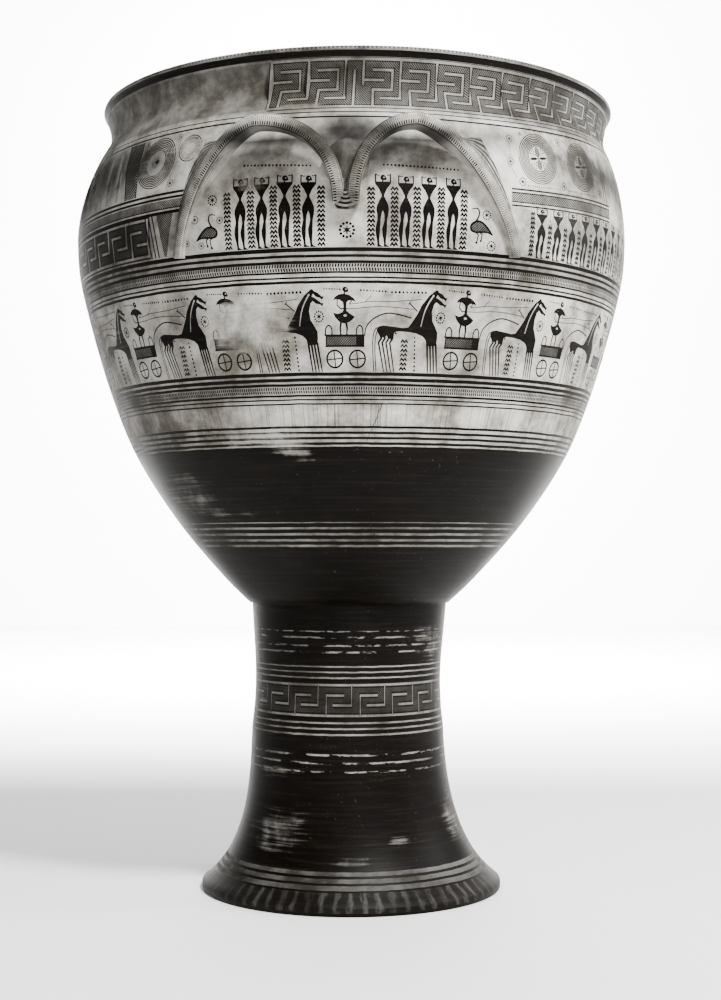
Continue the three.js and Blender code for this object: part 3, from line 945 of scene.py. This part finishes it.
def handle_pieces(name):
    """The two arches, the tongue and the saddle of one handle, at the front."""
    return [strap_piece(name + "_left", LEFT_ARCH), strap_piece(name + "_right", RIGHT_ARCH),
            tongue_piece(name + "_tongue"), saddle_piece(name + "_saddle")]


def turned_round(piece):
    """A copy on the far side of the body."""
    only(piece)
    bpy.ops.object.duplicate()
    copy = bpy.context.object
    for vertex in copy.data.vertices:
        x, y, z = vertex.co
        vertex.co = (-x, -y, z)
    return copy


def outward_faces(piece):
    only(piece)
    edit()
    bpy.ops.mesh.normals_make_consistent(inside=False)
    leave_edit()


# The whole piece

def wall_map(mesh):
    """Turns round the body and height in metres, for the bands."""
    lay = mesh.uv_layers.new(name="paint_map")
    for face in mesh.polygons:
        middle = atan2(face.center.x, -face.center.y)
        face_height = min(max(face.center.z / MM, FOOT_EDGE), LIP_START)
        inside = hypot(face.center.x, face.center.y) / MM < wall_radius(face_height) - 8
        for corner, vertex in zip(face.loop_indices, face.vertices):
            x, y, z = mesh.vertices[vertex].co
            turn = atan2(x, -y) if hypot(x, y) > 1e-5 else middle
            if turn - middle > pi:
                turn -= 2 * pi
            if middle - turn > pi:
                turn += 2 * pi
            lay.uv[corner].vector = (turn / (2 * pi), z - (2 if inside else 0))


# Where the slip is worn: angle, height, half the patch's width and height in degrees and mm, how much
WORN = [
    (-55, 622, 26, 44, 0.36), (-13, 668, 8, 10, 0.62), (-32, 592, 22, 12, 0.42),
    (-24, 694, 27, 13, 0.6), (-11, 1149, 6, 8, 0.75), (-20, 846, 12, 50, 0.85),
    (-18, 1036, 4.6, 16, 0.6), (-40, 1088, 9, 38, 0.42), (-31.5, 1099, 5, 24, 0.62),
    (58, 395, 24, 42, 0.34), (-44, 196, 24, 14, 0.5), (-42, 112, 28, 44, 0.46),
    (1, 70, 12, 8, 0.66), (25, 95, 8, 9, 0.5), (75, 120, 22, 60, 0.46), (-70, 300, 20, 60, 0.3),
    (20, 640, 40, 50, 0.1), (-62, 850, 12, 40, 0.3), (4, 552, 22, 14, 0.2),
    (140, 860, 20, 40, 0.5), (-140, 620, 30, 40, 0.5), (170, 180, 30, 40, 0.6),
    (120, 1090, 10, 30, 0.5), (-150, 1180, 20, 30, 0.4), (-30, 556, 24, 22, 0.25),
]
# Where the clay is darker or lighter, as stains and as painted shade: the same, and what the clay's lightness
# is multiplied by at the middle
SHADE_AND_STAIN_PATCHES = [
    # Painted shade: down the valley between the arches and under the tongue, painted shadows under the two
    # crowns and the arches, and darkened spots where light passes behind the crowns
    (-0.8, 1108, 10, 36, 0.07), (-0.6, 1066, 5, 30, 0.3), (-0.6, 1016, 4, 26, 0.5),
    (-15, 1093, 13, 18, 0.07), (11, 1093, 13, 18, 0.07), (-15, 1068, 14, 24, 0.7),
    (12, 1068, 14, 24, 0.75), (-5.5, 1074, 4, 22, 0.35), (4.5, 1074, 4, 22, 0.35),
    # The panels beside the handles, darker partly as stains and partly as painted shade, then stains and
    # lighter or darker clay on the neck and round the body
    (-66, 1090, 25, 60, 0.2), (-46, 1088, 15, 46, 0.3), (-50, 980, 24, 46, 0.6), (-22, 1080, 7, 40, 0.8),
    (60, 1088, 26, 46, 0.22), (60, 985, 26, 40, 0.5), (28, 1112, 9, 24, 0.4), (68, 1100, 12, 50, 0.6),
    (-11, 1150, 7, 9, 1.5), (0, 1186, 40, 26, 0.86), (-50, 1180, 26, 34, 2.1),
    (0, 930, 400, 22, 0.5), (0, 760, 400, 24, 0.6), (0, 696, 400, 14, 0.8), (0, 724, 40, 10, 1.2),
    (30, 840, 60, 60, 0.85), (-64, 690, 30, 60, 0.6),
]


def around(angle, centre):
    """The angle between two directions, the short way round."""
    return (angle - centre + 180) % 360 - 180


def worn_at(angle, height):
    total = 0
    for centre, middle, wide, tall, amount in WORN:
        away = hypot(around(angle, centre) / wide, (height - middle) / tall)
        total = max(total, amount * (1 - smooth(away, 0.35, 1.15)))
    return total


def stain_and_shade_at(angle, height):
    """How light the bare clay is: darker below, painted shade on the neck under the lip and on the side away
    from the light, and the listed patches of stain and painted shade.
    """
    stain_and_shade = mix(0.38, 1.0, smooth(height, 640, 700))
    # Painted shade: the neck under the lip is darker.
    stain_and_shade *= mix(1.0, 0.52, smooth(height, 1133, 1147))
    stain_and_shade *= mix(0.36, 1.0, smooth(height, 40, 110))
    # Painted shade: the side away from the light is darker.
    stain_and_shade *= mix(0.62, 1.0, smooth(sin(radians(angle)), -0.85, -0.15))
    for centre, middle, wide, tall, share in SHADE_AND_STAIN_PATCHES:
        away = hypot(around(angle, centre) / wide, (height - middle) / tall)
        stain_and_shade *= mix(share, 1, smooth(away, 0.3, 1.1))
    return stain_and_shade


def store_fields(mesh):
    """Wear, and stains and painted shade, at every vertex."""
    for name, field in (("wear", worn_at), ("stain_and_shade", stain_and_shade_at)):
        values = []
        for vertex in mesh.vertices:
            x, y, z = vertex.co
            values.append(field(degrees(atan2(x, -y)), z / MM))
        made = mesh.attributes.new(name, "FLOAT", "POINT")
        made.data.foreach_set("value", values)


def lean_at(height):
    for (low, first), (high, second) in zip(LEAN, LEAN[1:]):
        if height <= high:
            return mix(first, second, smooth(height, low, high))
    return LEAN[-1][1]


def wall_normals(mesh):
    """Smooth shading that follows the true curve of the outside wall, so the painted triangles don't show."""
    true = {}
    for vertex in mesh.vertices:
        x, y, z = vertex.co
        height = z / MM
        radius = hypot(x, y) / MM
        if FOOT_EDGE + 4 < height < LIP_START - 4 and abs(radius - wall_radius(height)) < 0.05:
            if abs(height - JOINT_HEIGHT) < 4:
                continue
            slope = (wall_radius(height + 1.5) - wall_radius(height - 1.5)) / 3
            true[vertex.index] = Vector((x, y, -slope * hypot(x, y))).normalized()
    return [true.get(loop.vertex_index, Vector((0, 0, 0))) for loop in mesh.loops]


def krater():
    """The whole vessel as one piece."""
    body = turned_body()
    unit = 24 * SHOULDER_SCALE
    zones = [
        zone_piece("frieze", FRIEZE_ZONE, 120, frieze_shapes(unit, 5), CLAY, 7),
        zone_piece("shoulder", SHOULDER_ZONE, 360, shoulder_shapes(), CLAY, 18, lifted),
    ]
    key_pitch = 20 * SHOULDER_SCALE
    low, high = 3.2, STEM_KEY_ZONE[1] - STEM_KEY_ZONE[0] - 3.2
    stem_key = [box(-2, 0.6, key_pitch + 2, low), box(-2, high, key_pitch + 2, high + 2.6)]
    paths = []
    for i in range(-1, 2):
        paths += low_key(i * key_pitch + 20, low, high, key_pitch)
    stem_key += key_band(-2, key_pitch + 2, low, high, paths, 2.6, 3.4, DENSE)
    zones.append(zone_piece("stem_key", STEM_KEY_ZONE, 20, stem_key, GLAZE, 4))
    store_paint(body.data, [BANDS] * len(body.data.polygons))
    only(body, *zones)
    bpy.ops.object.join()
    edit()
    bpy.ops.mesh.remove_doubles(threshold=0.00003)
    bpy.ops.mesh.select_all(action="SELECT")
    bpy.ops.mesh.normals_make_consistent(inside=False)
    leave_edit()
    while body.data.uv_layers:
        body.data.uv_layers.remove(body.data.uv_layers[0])
    wall_map(body.data)
    front = handle_pieces("front_handle")
    back = [turned_round(piece) for piece in front]
    for piece in front + back:
        outward_faces(piece)
    only(body, *front, *back)
    bpy.ops.object.join()
    bpy.ops.object.shade_smooth_by_angle(angle=radians(40))
    mesh = body.data
    normals = wall_normals(mesh)
    store_fields(mesh)
    for vertex in mesh.vertices:
        vertex.co.x += lean_at(vertex.co.z / MM) * MM
    mesh.normals_split_custom_set(normals)
    mesh.update()
    return body


# Materials

class Graph:
    """A material's nodes, added one by one."""

    def __init__(self, name):
        self.material = bpy.data.materials.new(name)
        self.material.use_nodes = True
        self.tree = self.material.node_tree
        self.shader = self.tree.nodes["Principled BSDF"]

    def node(self, kind, **settings):
        made = self.tree.nodes.new(kind)
        for key, value in settings.items():
            setattr(made, key, value)
        return made

    def feed(self, socket, value):
        if isinstance(value, bpy.types.NodeSocket):
            self.tree.links.new(value, socket)
        else:
            socket.default_value = value

    def math(self, operation, *values, clamp=False):
        made = self.node("ShaderNodeMath", operation=operation, use_clamp=clamp)
        for socket, value in zip(made.inputs, values):
            self.feed(socket, value)
        return made.outputs[0]

    def join(self, x, y=0.0, z=0.0):
        made = self.node("ShaderNodeCombineXYZ")
        for socket, value in zip(made.inputs, (x, y, z)):
            self.feed(socket, value)
        return made.outputs[0]

    def noise(self, vector, scale=1.0, detail=2.0, rough=0.5):
        made = self.node("ShaderNodeTexNoise")
        self.feed(made.inputs["Vector"], vector)
        made.inputs["Scale"].default_value = scale
        made.inputs["Detail"].default_value = detail
        made.inputs["Roughness"].default_value = rough
        return made.outputs["Fac"]

    def ramp(self, value, low, high, out_low=0.0, out_high=1.0):
        made = self.node("ShaderNodeMapRange", interpolation_type="SMOOTHSTEP")
        for socket, given in zip(made.inputs, (value, low, high, out_low, out_high)):
            self.feed(socket, given)
        return made.outputs[0]

    def blend(self, share, first, second):
        made = self.node("ShaderNodeMix", data_type="RGBA")
        self.feed(made.inputs[0], share)
        self.feed(made.inputs[6], first)
        self.feed(made.inputs[7], second)
        return made.outputs[2]

    def most(self, values):
        total = values[0]
        for value in values[1:]:
            total = self.math("MAXIMUM", total, value)
        return total

    def line(self, height, centre, width):
        """1 within a line of that width, all in millimetres."""
        return self.math("COMPARE", height, centre, width / 2)

    def between(self, value, low, high):
        return self.line(value, (low + high) / 2, high - low)

    def ticks(self, value, pitch, share):
        """1 in the first share of every pitch."""
        return self.math("LESS_THAN", self.math("FRACT", self.math("DIVIDE", value, pitch)), share)

    def length(self, x, y):
        squares = [self.math("MULTIPLY", side, side) for side in (x, y)]
        return self.math("SQRT", self.math("ADD", *squares))


def painted_clay():
    """Pale clay with dark slip, in bands and figures, worn as the photo shows."""
    g = Graph("painted_clay")
    uv = g.node("ShaderNodeUVMap", uv_map="paint_map").outputs["UV"]
    parts = g.node("ShaderNodeSeparateXYZ")
    g.feed(parts.inputs[0], uv)
    turn, raw = parts.outputs[0], parts.outputs[1]
    paint = g.node("ShaderNodeAttribute", attribute_name="paint").outputs["Fac"]
    place = g.node("ShaderNodeTexCoord").outputs["Object"]
    angle = g.math("MULTIPLY", turn, 360.0)

    def painted(code):
        """1 on the faces painted that way."""
        return g.math("COMPARE", paint, code, 0.3)

    def brushed(round_scale, up_scale, detail, rough=0.5):
        """Noise stretched one way round the vessel and another way up it."""
        place = g.join(g.math("MULTIPLY", turn, round_scale), g.math("MULTIPLY", raw, up_scale))
        return g.noise(place, 1.0, detail, rough)

    wobble = brushed(60.0, 40.0, 2.0)
    height = g.math("MULTIPLY_ADD", raw, 1000.0, g.math("MULTIPLY_ADD", wobble, 1.6, -0.8))

    dark_lines = [(944.4, 5.2), (935.9, 3.4), (927.8, 3.6), (914.2, 2.4), (907.4, 2.2), (901.6, 3.4),
                  (779.4, 4.4), (771.8, 4.2), (765.2, 3.2), (750.6, 2.6), (745.2, 1.8), (739.4, 1.9),
                  (707.9, 3.0), (700.2, 3.2), (693.0, 3.2), (685.6, 3.4)]
    solid = [(452.0, 681.5), (333.0, 452.0), (57.0, 281.0), (48.0, 51.6), (39.2, 42.4), (30.6, 33.0),
             (-3.0, 5.0)]
    reserved = [(575.6, 1.6), (567.6, 3.0), (558.8, 3.4), (550.0, 3.4), (541.8, 3.2),
                (357.9, 2.2), (349.6, 2.2), (341.0, 2.4), (272.8, 2.6), (264.0, 2.6), (255.2, 2.8)]
    gappy = [(411.6, 1.8), (402.4, 2.6), (390.0, 2.4), (380.0, 2.6), (224.4, 3.0), (212.2, 2.8),
             (199.2, 2.4)]
    rim = [(1220.4, 8.2)]
    lines = g.most([g.line(height, centre, width * 1.12) for centre, width in dark_lines + rim])
    solids = g.most([g.between(height, low, high) for low, high in solid])
    lights = g.most([g.line(height, centre, width) for centre, width in reserved])
    breaks = brushed(26.0, 90.0, 3.0, 0.7)
    broken = g.math("MULTIPLY", g.most([g.line(height, centre, width) for centre, width in gappy]),
                    g.ramp(breaks, 0.46, 0.54))
    lights = g.math("MAXIMUM", lights, broken)
    bands = g.math("MAXIMUM", lines, g.math("MULTIPLY", solids, g.math("SUBTRACT", 1.0, lights)))

    # Two rows of short strokes above and below the frieze
    strokes = g.math("MULTIPLY", turn, 700.0)
    for low, middle, high in ((915.4, 920.6, 926.0), (753.4, 757.8, 762.6)):
        for bottom, top, phase, slope in ((low, middle, 0.0, 0.06), (middle, high, 0.5, -0.05)):
            wave = g.math("FRACT", g.math("ADD", g.math("MULTIPLY_ADD", height, slope, strokes), phase))
            row = g.between(height, bottom + 0.5, top - 0.5)
            bands = g.math("MAXIMUM", bands, g.math("MULTIPLY", g.math("LESS_THAN", wave, 0.56), row))

    # Dots along the lip
    dot_turn = g.math("SUBTRACT", g.math("FRACT", g.math("MULTIPLY", turn, 426.0)), 0.5)
    dot_rise = g.math("DIVIDE", g.math("SUBTRACT", height, 1228.6), 6.0)
    dot = g.math("LESS_THAN", g.length(dot_turn, dot_rise), 0.3)
    bands = g.math("MAXIMUM", bands, g.math("MULTIPLY", dot, 0.8))

    # Thin upright brush strokes under the frieze
    streak = brushed(900.0, 6.0, 2.0, 0.6)
    upright = g.math("MULTIPLY", g.ramp(streak, 0.5, 0.72), g.between(height, 709.0, 738.6))
    bands = g.math("MAXIMUM", bands, g.math("MULTIPLY", upright, 0.6))

    # Rough tongues round the foot
    tongues = g.math("ABSOLUTE", g.math("SUBTRACT", g.math("FRACT", g.math("MULTIPLY", turn, 68.0)), 0.5))
    ragged = brushed(210.0, 60.0, 3.0, 0.6)
    tongues = g.math("ADD", tongues, g.math("MULTIPLY_ADD", ragged, 1.1, -0.55))
    tongues = g.math("MULTIPLY", g.ramp(tongues, 0.2, 0.52, 0.92, 0.35), g.between(height, 4.0, 31.0))
    bands = g.math("MAXIMUM", bands, tongues)

    # Two fine cracks through the surface, from (angle, height) to (angle, height)
    cracks = []
    for start, end in (((7.1, 741.0), (3.8, 688.0)), ((5.8, 578.0), (9.6, 541.0))):
        slope = (end[0] - start[0]) / (end[1] - start[1])
        along = g.math("MULTIPLY_ADD", g.math("SUBTRACT", height, start[1]), slope, start[0])
        aside = g.math("ADD", g.math("SUBTRACT", angle, along), g.math("MULTIPLY_ADD", wobble, 1.8, -0.9))
        cracks.append(g.math("MULTIPLY", g.line(aside, 0.0, 0.2), g.between(height, end[1], start[1])))
    cracked = g.most(cracks)

    # Figures painted on the mesh
    on_stem = g.math("LESS_THAN", height, 400.0)
    girth = g.math("MULTIPLY", turn, g.math("MULTIPLY_ADD", on_stem, -1660.0, 2600.0))
    rise = g.math("MULTIPLY", raw, 1000.0)
    hatch_a = g.ticks(g.math("ADD", girth, rise), 3.5, 0.55)
    hatch_b = g.ticks(g.math("SUBTRACT", girth, rise), 3.5, 0.55)
    hatching = g.math("ADD", g.math("MULTIPLY", painted(HATCH), hatch_a),
                      g.math("MULTIPLY", painted(HATCH_BACK), hatch_b))
    hatched = g.math("ADD", painted(HATCH), painted(HATCH_BACK))
    hatching = g.math("MULTIPLY_ADD", hatching, 0.52, g.math("MULTIPLY", hatched, 0.44))
    dense = g.math("MULTIPLY", painted(DENSE), g.math("MULTIPLY_ADD", hatch_b, 0.22, 0.76))
    figures = g.math("ADD", g.math("ADD", painted(GLAZE), hatching), dense)
    figures = g.math("ADD", figures, g.math("MULTIPLY", painted(WASH), 0.34))
    slip = g.math("ADD", g.math("MULTIPLY", painted(BANDS), bands), figures)

    # Handles: dashes and fine strokes across the face, hatching by the feet, lines down the flank
    run = g.math("MULTIPLY", turn, 1000.0)
    across = g.math("MULTIPLY", g.math("SUBTRACT", raw, FACE), 1000.0)
    face = g.between(raw, FACE - 0.1, FACE + 0.1)
    uneven = brushed(130.0, 1.0, 2.0, 0.6)
    above_feet = g.ramp(run, 95.0, 125.0)
    dashes = g.math("MULTIPLY", g.ticks(run, 3.4, 0.56), g.between(across, -6.8, -2.0))
    dashes = g.math("MULTIPLY", dashes, g.ramp(uneven, 0.3, 0.5, 0.5, 1.0))
    fine = g.math("MULTIPLY", g.ticks(run, 2.7, 0.45), g.between(across, -2.0, 5.6))
    beads = g.math("MULTIPLY", g.ticks(run, 3.7, 0.5), g.between(across, 5.6, 8.2))
    upper = g.most([dashes, g.math("MULTIPLY", fine, 0.66),
                    g.math("MULTIPLY", beads, g.ramp(uneven, 0.45, 0.6, 0.1, 0.75))])
    slant = g.ticks(g.math("ADD", run, across), 3.0, 0.6)
    lower = g.math("MULTIPLY", slant, g.between(across, -6.6, 6.4))
    drawn = g.math("ADD", g.math("MULTIPLY", upper, above_feet),
                   g.math("MULTIPLY", lower, g.math("MULTIPLY_ADD", above_feet, -0.85, 0.85)))
    edges = g.most([g.line(across, -8.0, 1.5), g.line(across, 7.6, 1.2)])
    on_face = g.math("MULTIPLY", face, g.math("MAXIMUM", drawn, g.math("MULTIPLY", edges, 0.8)))
    flank = g.between(raw, FLANK - 0.1, FLANK + 0.6)
    flank_lines = g.most([g.line(raw, FLANK + place_on, width) for place_on, width in
                          ((0.04, 0.04), (0.12, 0.035), (0.20, 0.045), (0.28, 0.035), (0.36, 0.05),
                           (0.44, 0.04))])
    shade = g.ramp(uneven, 0.3, 0.7, 0.25, 0.6)
    on_flank = g.math("MULTIPLY", flank, g.math("MAXIMUM", g.math("MULTIPLY", flank_lines, 0.96), shade))
    side = g.between(raw, SIDE - 0.1, SIDE + 0.6)
    soffit = g.most([g.line(raw, SIDE + 0.46, 0.035), g.line(raw, SIDE + 0.37, 0.02)])
    tongue = g.between(raw, TONGUE - 0.2, TONGUE + 0.2)
    tongue_rise = g.math("MINIMUM", g.math("SUBTRACT", raw, TONGUE), 0.0)
    tongue_rings = g.ticks(g.length(turn, tongue_rise), 0.0052, 0.52)
    tongue_rings = g.math("MULTIPLY_ADD", tongue_rings, g.ramp(wobble, 0.3, 0.6, 0.5, 0.9), 0.1)
    handles = g.most([on_face, on_flank, g.math("MULTIPLY", side, g.math("MULTIPLY", soffit, 0.7)),
                      g.math("MULTIPLY", tongue, tongue_rings)])
    # Painted shade: the saddle between the arches is darkened with thin slip.
    saddle = g.between(raw, SADDLE - 0.2, SADDLE + 0.2)
    saddle = g.math("MULTIPLY", saddle, g.ramp(uneven, 0.35, 0.65, 0.35, 0.6))
    handles = g.math("MAXIMUM", handles, saddle)
    on_handle = g.math("GREATER_THAN", raw, 1.5)
    slip = g.math("ADD", g.math("MULTIPLY", slip, g.math("SUBTRACT", 1.0, on_handle)), handles)

    # Wear: level brush streaks, fine specks and worn patches
    wear = g.node("ShaderNodeAttribute", attribute_name="wear").outputs["Fac"]
    stain_and_shade = g.node("ShaderNodeAttribute", attribute_name="stain_and_shade").outputs["Fac"]
    level = brushed(11.0, 230.0, 4.0, 0.62)
    patches = g.noise(place, 6.0, 4.0, 0.6)
    mottle = g.noise(place, 34.0, 4.0, 0.65)
    specks = g.noise(place, 240.0, 3.0, 0.6)
    rubbed = g.math("ADD", g.math("ADD", g.math("MULTIPLY", level, 0.75), g.math("MULTIPLY", mottle, 0.35)),
                    g.math("MULTIPLY_ADD", patches, 0.3, g.math("MULTIPLY", wear, 0.62)))
    scuffs = g.ramp(rubbed, 0.88, 1.16)
    speckled = g.math("MULTIPLY", g.ramp(specks, 0.66, 0.74), 0.2)
    gone = g.math("ADD", g.math("MULTIPLY", scuffs, 0.84), speckled, clamp=True)
    faded = g.math("MULTIPLY", g.ramp(wear, 0.5, 0.9), g.ramp(patches, 0.36, 0.6, 0.4, 0.86))
    gone = g.math("MAXIMUM", gone, faded)
    slip = g.math("MULTIPLY", slip, g.math("SUBTRACT", 1.0, gone), clamp=True)

    clay_dark = (0.11, 0.1, 0.082, 1)
    clay_light = (0.52, 0.5, 0.458, 1)
    slip_dark = (0.0011, 0.0007, 0.0003, 1)
    slip_thin = (0.0062, 0.0042, 0.0022, 1)
    stains = g.noise(place, 9.0, 6.0, 0.68)
    clay = g.blend(g.ramp(g.math("MULTIPLY_ADD", mottle, 0.45, stains), 0.52, 0.94), clay_dark, clay_light)
    grain = g.noise(place, 420.0, 2.0, 0.6)
    clay = g.blend(g.math("MULTIPLY", g.ramp(grain, 0.55, 0.8), 0.25), clay, (0.16, 0.146, 0.122, 1))
    # The clay multiplied by the stored stains and painted shade.
    stained_and_shaded_clay = g.node("ShaderNodeMix", data_type="RGBA", blend_type="MULTIPLY")
    stained_and_shaded_clay.inputs[0].default_value = 1.0
    g.feed(stained_and_shaded_clay.inputs[6], clay)
    g.feed(stained_and_shaded_clay.inputs[7], g.join(stain_and_shade, stain_and_shade, stain_and_shade))
    dark = g.blend(g.ramp(level, 0.45, 0.75), slip_dark, slip_thin)
    colour = g.blend(slip, stained_and_shaded_clay.outputs[2], dark)
    colour = g.blend(g.math("MULTIPLY", cracked, 0.85), colour, (0.012, 0.01, 0.008, 1))
    g.feed(g.shader.inputs["Base Color"], colour)
    rough = g.math("ADD", g.math("MULTIPLY", slip, -0.28), g.math("MULTIPLY_ADD", stains, 0.12, 0.7))
    g.feed(g.shader.inputs["Roughness"], rough)
    g.shader.inputs["Specular IOR Level"].default_value = 0.055
    ridges = brushed(3.0, 170.0, 2.0)
    relief = g.math("ADD", g.math("MULTIPLY", ridges, 0.6), g.math("MULTIPLY", grain, 0.16))
    bump = g.node("ShaderNodeBump")
    bump.inputs["Strength"].default_value = 0.35
    bump.inputs["Distance"].default_value = 0.0012
    g.feed(bump.inputs["Height"], relief)
    g.feed(g.shader.inputs["Normal"], bump.outputs["Normal"])
    return g.material


def floor_finish():
    g = Graph("pale_floor")
    place = g.node("ShaderNodeTexCoord").outputs["Object"]
    soft = g.noise(place, 1.5, 2.0)
    g.feed(g.shader.inputs["Base Color"], g.blend(soft, (0.78, 0.775, 0.765, 1), (0.82, 0.815, 0.805, 1)))
    g.shader.inputs["Roughness"].default_value = 0.8
    return g.material


# Floor, light and camera

def stage_floor():
    bpy.ops.object.select_all(action="DESELECT")
    bpy.ops.mesh.primitive_plane_add(size=14, location=(0, 1.5, -0.0005))
    floor = bpy.context.object
    floor.name = "floor"
    edit(select="DESELECT")
    leave_edit()
    for vertex in floor.data.vertices:
        vertex.select = vertex.co.y > 0
    bpy.ops.object.mode_set(mode="EDIT")
    bpy.ops.mesh.select_mode(type="EDGE")
    bpy.ops.mesh.extrude_region_move(TRANSFORM_OT_translate={"value": (0, 0, 7)})
    leave_edit()
    floor.data.materials.append(floor_finish())


def lamp(name, place, aim, size, watts):
    light = bpy.data.lights.new(name, "AREA")
    light.shape = "DISK"
    light.size = size
    light.energy = watts
    holder = bpy.data.objects.new(name, light)
    holder.location = place
    holder.rotation_euler = (Vector(aim) - Vector(place)).to_track_quat("-Z", "Y").to_euler()
    bpy.context.collection.objects.link(holder)


def studio():
    world = bpy.data.worlds.new("studio")
    world.use_nodes = True
    world.node_tree.nodes["Background"].inputs[0].default_value = (0.93, 0.95, 1, 1)
    world.node_tree.nodes["Background"].inputs[1].default_value = 0.36
    bpy.context.scene.world = world
    lamp("key", (1.5, -2.5, 4.0), (0, 0, 0.9), 0.7, 640)
    lamp("side", (3.4, 0.2, 1.9), (0, 0, 0.8), 1.2, 140)
    lamp("wall", (0, 3.4, 4.0), (0, 8, 1.2), 3.0, 5600)
    lamp("low", (0.4, -2.6, 0.5), (0, 0, 0.2), 1.4, 20)


def camera():
    seen = bpy.data.cameras.new("camera")
    seen.lens = 58.48
    seen.sensor_width = 36
    holder = bpy.data.objects.new("camera", seen)
    holder.location = (0.0146, -2.6237, 0.5397)
    holder.rotation_euler = (radians(90 + 1.669), 0, 0)
    bpy.context.collection.objects.link(holder)
    bpy.context.scene.camera = holder


camera()
studio()
stage_floor()
vessel = krater()
vessel.data.materials.clear()
vessel.data.materials.append(painted_clay())
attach(vessel, "root")
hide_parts("krater")
